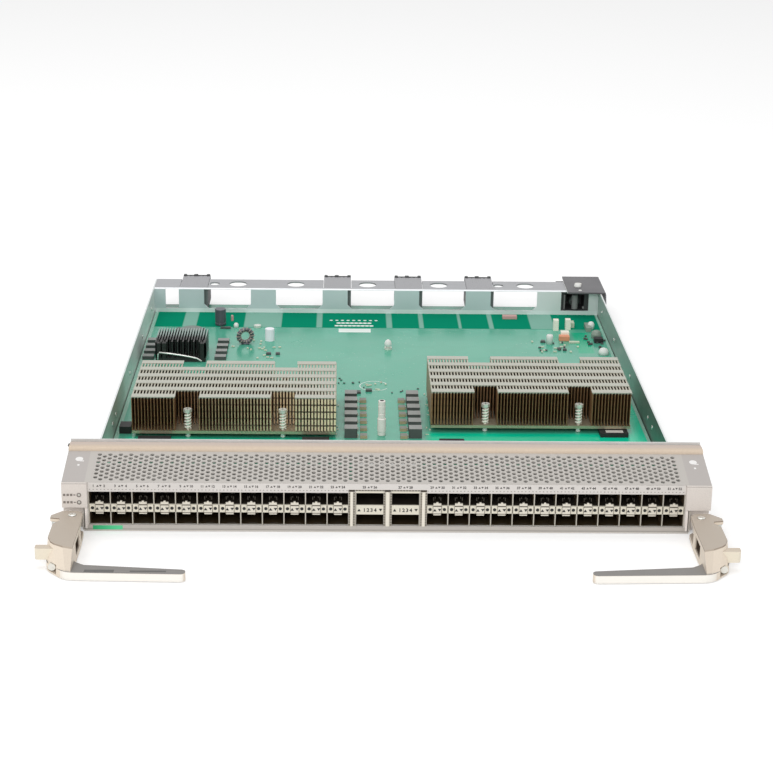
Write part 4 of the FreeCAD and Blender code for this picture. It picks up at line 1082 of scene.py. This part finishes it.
def silk_ring(shape, x, y, radius, width, steps):
    """Printed ring, or the stretch of it that the steps cover."""
    inner = radius - width
    for n in steps:
        corners = ((radius, n), (radius, n + 1), (inner, n + 1), (inner, n))
        pairs = [around(reach, step, RING_STEPS) for reach, step in corners]
        shape.add([(x + a, y + b, BOARD_TOP + 0.04) for a, b in pairs], [(0, 1, 2, 3)])


def make_silk_screen():
    """Bar, dots and rings printed on the board, and the label on the front chip."""
    silk = Shape()
    top = BOARD_TOP + INK_HEIGHT
    silk.box((-34.3, -6.2), (424.5, 435), (BOARD_TOP, top))
    for y, first, last, count, radius in SILK_DOTS:
        for n in range(count):
            x = first + (last - first) * n / (count - 1)
            silk.lathe((x, y, 0), [(radius, BOARD_TOP), (radius, top)], 10)
    for x in (-70, 70):
        silk_ring(silk, x, 120, 5.2, 0.5, range(RING_STEPS))
    silk_ring(silk, -5, 282, 12, 0.7, range(2, 22))
    silk.piece("silk_screen", "silk_white")
    blocks("chip_labels", "label_white", [((167.5, 180.5), (170.5, 175.5), (7.5, 7.56))])


# Small sink: limits along X and Y, and top of its base.
SMALL_SINK = ((-186, -144.5), (340, 378), 8)
SMALL_FINS = 19
SMALL_FIN = 1.1


def make_small_sink():
    """Fine black fins on the small heat sink, and the bent wire that holds it down."""
    sink = Shape()
    (start, end), (front, rear), base = SMALL_SINK
    sink.box((start, end), (front, rear), (BOARD_TOP, base))
    for n in range(SMALL_FINS):
        left = start + (end - start - SMALL_FIN) * n / (SMALL_FINS - 1)
        top = 22 if n not in (0, SMALL_FINS - 1) else 21.4
        sink.box((left, left + SMALL_FIN), (front + (6 if n % 2 else 0), rear), (base, top))
    for corner in ((start, -176.5), (-149.5, end)):
        sink.box(corner, (front, 350), (base, 20.5))
    sink.piece("small_sink_fins", "sink_black", replaces="small_heat_sink")
    wire = Shape()
    wire.tube([
        (-184, 338.9, 6), (-183.6, 338.9, 11.5), (-182.6, 338.9, 13), (-174, 338.9, 12),
        (-162, 338.9, 10.2), (-152, 338.9, 8.2), (-149, 338.9, 6.4), (-147.6, 338.9, 5.4),
    ], 0.7)
    wire.piece("small_sink_wire", "clip_wire", replaces="small_heat_sink_clip", smooth=True)


POST = (-1, 170.8, 0)


def make_post():
    """Tall standoff: slim above, thicker below, with ring grooves and painted shade in its mouth."""
    post = Shape()
    post.lathe(POST, [
        (2.5, BOARD_TOP), (2.9, 4.7), (2.9, 7.4), (3.2, 7.8), (3.2, 17.6), (2.7, 18), (2.7, 21.6),
        (2.3, 22), (2.7, 22.4), (2.7, 27.6), (2.4, 28), (2.7, 28.4), (2.7, 31.4), (2.4, 31.8),
    ], 28)
    post.piece("post_body", "post_nickel", replaces="tall_standoff", bevel=0.1)
    mouth = Shape()
    mouth.lathe(POST, [(1.7, 31.8), (1.6, 31.86)], 20)
    mouth.piece("post_mouth_shade", "ink_black")


def make_inductor_ends():
    """Small bright terminals between the inductors and the power stages."""
    ends = Shape()
    for across in ((-19.2, -18.2), (18.2, 19.2)):
        for n in range(6):
            for k in range(3):
                y = 163.5 + 15.7 * n + 2.4 * k
                ends.box(across, (y + 1, y + 2.2), (BOARD_TOP, 5))
    ends.piece("inductor_terminals", "part_pale")


# Tray and beam details

RIVET_ROWS = (60, 104, 162, 183, 279, 375, 455)
STATION_CENTRES = (-165, -35.8, 28.8, 93.4)
COVER_SCREW = (182, 491, 28.4)


def make_rivets():
    """Rivet heads on both faces of the side walls and under the tray."""
    rivets = Shape()
    for side in (-1, 1):
        for y in RIVET_ROWS:
            for wall, out in ((200.3, -side), (201.5, side)):
                head = [(1.9, -0.05 * out), (1.7, 0.35 * out), (0.9, 0.6 * out)]
                rivets.lathe((side * wall, y, 15), head, 16, "x")
    rivets.piece("wall_rivets", "pin_steel", smooth=True)

    under = Shape()
    for x, y in ((-105.8, 438), (8, 378), (-70, 120), (70, 120)):
        under.lathe((x, y, 0), [(3.6, 0.02), (3.6, 0), (2.6, 0)], 24)
    under.piece("underside_rivets", "pin_steel")


def make_connector_bumps():
    """Keys at the rear edge and ribbed lids of the four backplane connectors."""
    bumps = Shape()
    lids = Shape()
    for x in STATION_CENTRES:
        for start, end in ((-12, -9.2), (-2.6, 1), (9, 12)):
            bumps.box((x + start, x + end), (522, 525.4), (26.6, 28))
        bumps.box((x - 9.2, x + 9.2), (523.2, 525), (26.6, 27.2))
        lids.box((x - 12.1, x + 12.1), (486.6, 521.8), (26.5, 26.74))
        for n in range(12):
            left = x - 11.6 + 1.98 * n
            lids.box((left, left + 1.1), (487.2, 521.4), (26.7, 26.82))
    bumps.piece("connector_keys", "guide_cast", bevel=0.25)
    lids.piece("connector_lids", "plug_grey")


def make_guide_window():
    """Upright boss and side ribs in the mouth of the guide block, and the dome of the cover screw."""
    boss = Shape()
    boss.lathe((179.4, 486.2, 0), [(2.6, 9), (2.9, 9.6), (2.9, 21.6), (2.4, 22.4)], 18)
    boss.box((169.4, 170.5), (485, 486.4), (9, 22))
    boss.box((186.4, 187.9), (485, 486.4), (9.4, 11.4))
    boss.piece("guide_boss", "boss_grey", bevel=0.15)
    dome = Shape()
    dome.lathe(COVER_SCREW, [(3.4, 0), (3.3, 1), (2.7, 2.2), (1.4, 3)], 20)
    x, y, z = COVER_SCREW
    dome.lathe((x + 1, y - 12, z), [(1.8, 0), (1.3, 0.4)], 14)
    dome.piece("cover_screw", "part_white", smooth=True)
    blocks("cover_edge_line", "part_white", [((171.1, 171.5), (474, 512), (27.05, 27.4))])


def soft_edges(name, width):
    """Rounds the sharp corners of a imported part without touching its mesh."""
    weld = nodes[name].modifiers.new("join", "WELD")
    weld.merge_threshold = 0.01 * MM
    rounded(nodes[name], width).angle_limit = math.radians(50)


SIDES = (("left", -1), ("right", 1))
PUSH_COIL = dict(near=207.1, far=200.9, y=-56.7, z=10, radius=2, turns=5)


def make_lever_details():
    """Blank strips on the left bar, and the small coils under both claws."""
    blocks("bar_blanks", "blank_grey", (
        ((-190.5, -172), (-76.6, -72.9), (5.5, 5.56)), ((-162, -139.5), (-76, -73.9), (5.5, 5.56)),
    ), body="left_lever")
    for name, side in SIDES:
        coil = Shape()
        profile = []
        for n in range(3):
            low = 9.2 + 1.6 * n
            profile += [(1.7, low), (2.5, low + 0.3), (2.5, low + 1.1), (1.7, low + 1.4)]
        coil.lathe((side * 216.6, -15.2, 0), profile, 18)
        coil.piece(name + "_claw_coil", "part_white", body=name + "_lever")


def make_release_coils():
    """Push springs behind the release buttons, each given a mesh of its own."""
    y, z, radius = PUSH_COIL["y"], PUSH_COIL["z"], PUSH_COIL["radius"]
    near, far = PUSH_COIL["near"], PUSH_COIL["far"]
    steps = PUSH_COIL["turns"] * 12
    for name, side in SIDES:
        path = []
        for n in range(steps + 1):
            a, b = around(radius, n, 12)
            path.append((side * (near + (far - near) * n / steps), y + a, z + b))
        coil = Shape()
        coil.tube(path, 0.3, 6)
        thing = coil.piece(
            name + "_release_coil", "spring_steel", name + "_lever",
            replaces=name + "_release_spring", smooth=True,
        )
        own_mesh(thing)


def make_strip_end():
    """Painted shade in the open end of the contact strip, on the left."""
    end = Shape()
    path = []
    for n in range(9):
        a, b = around(1, n, 16, 0.35 * math.pi)
        path.append((-214.4, 41.6 - 4 * a, 42.6 + 2.4 * b))
    end.tube(path, 0.55)
    end.piece("strip_end", "ink_grey", smooth=True)


def make_pin_caps():
    """Domed heads of the two rivets that the levers turn on."""
    caps = Shape()
    for _, side in SIDES:
        caps.lathe((side * 205.8, -12.5, 0), [(2.7, 16.6), (2.6, 17.1), (2, 17.35), (0.9, 17.45)], 28)
    caps.piece("pin_heads", "pin_steel", smooth=True)


make_slope()
make_number_strip()
make_port_columns()
make_wide_ports()
make_sill_label()
make_status_lamps()
make_fins()
make_springs()
make_small_parts()
make_coin_cell()
make_choke()
make_silk_screen()
make_small_sink()
make_guide_window()
make_post()
make_inductor_ends()
make_rivets()
make_connector_bumps()
make_pin_caps()
make_strip_end()
make_release_coils()
make_lever_details()
for side, _ in SIDES:
    soft_edges(side + "_lever", 0.9)
    soft_edges(side + "_release_button", 0.7)


# Camera, light and floor

LENS = 87.5549
SENSOR = 36
CAMERA_SPOT = (-29.4451, -1145.82698, 501.64)
PITCH = 0.33519
YAW = -0.02405
ROLL = 0.01446


def make_camera():
    """Camera at the place, tilt and lens fitted to the photo."""
    data = bpy.data.cameras.new("view")
    data.lens = LENS
    data.sensor_width = SENSOR
    data.clip_start = 0.01
    camera = bpy.data.objects.new("view", data)
    level = Vector((math.cos(YAW), math.sin(YAW), 0))
    ahead = Vector((-math.sin(YAW) * math.cos(PITCH), math.cos(YAW) * math.cos(PITCH), -math.sin(PITCH)))
    lift = level.cross(ahead)
    right = level * math.cos(ROLL) + lift * math.sin(ROLL)
    up = lift * math.cos(ROLL) - level * math.sin(ROLL)
    turned = Matrix((right, up, -ahead)).transposed().to_4x4()
    camera.matrix_world = Matrix.Translation(Vector(CAMERA_SPOT) * MM) @ turned
    bpy.context.scene.collection.objects.link(camera)
    bpy.context.scene.camera = camera


def area_light(name, spot, aim, size, power):
    data = bpy.data.lights.new(name, "AREA")
    data.shape = "RECTANGLE"
    data.size, data.size_y = size
    data.energy = power
    light = bpy.data.objects.new(name, data)
    light.location = spot
    light.rotation_euler = (Vector(aim) - Vector(spot)).to_track_quat("-Z", "Y").to_euler()
    bpy.context.scene.collection.objects.link(light)


def white_to_camera(tree, dull, bright=1):
    """Strength socket: dull for light on the object, bright where the backdrop is seen."""
    path = tree.add("ShaderNodeLightPath").outputs
    seen = path["Is Camera Ray"]
    for ray in ("Is Glossy Ray", "Is Transmission Ray"):
        seen = tree.sum("MAXIMUM", seen, path[ray])
    return tree.ramp(seen, 0, 1, dull, bright)


def make_stage():
    """White surroundings and floor, and two area lights."""
    world = bpy.data.worlds.new("studio")
    bpy.context.scene.world = world
    world.use_nodes = True
    sky = Nodes(world.node_tree)
    sky.give(sky.tree.nodes["Background"], {"Color": WHITE, "Strength": white_to_camera(sky, 0.62)})

    bpy.ops.mesh.primitive_plane_add(size=30, location=(0, 0, -0.0003))
    floor = bpy.context.object
    floor.name = "floor"
    finish = Finish("floor_white")
    finish.set((0.8, 0.8, 0.8, 1), 0.9)
    finish.give(finish.shader, {"Specular IOR Level": 0})
    lift = finish.add("ShaderNodeEmission", WHITE, white_to_camera(finish, 0, 0.32)).outputs[0]
    both = finish.add("ShaderNodeAddShader", finish.shader.outputs[0], lift).outputs[0]
    finish.give(finish.tree.nodes["Material Output"], {"Surface": both})
    floor.data.materials.append(finish.material)

    area_light("front_box", (-0.5, -2.4, 1.5), (0, 0.1, 0), (2.4, 1.4), 34)
    area_light("top_box", (-0.3, 0.5, 2.4), (0, 0.25, 0), (2, 2), 16)
    bpy.context.scene.view_settings.view_transform = "Standard"


make_camera()
make_stage()
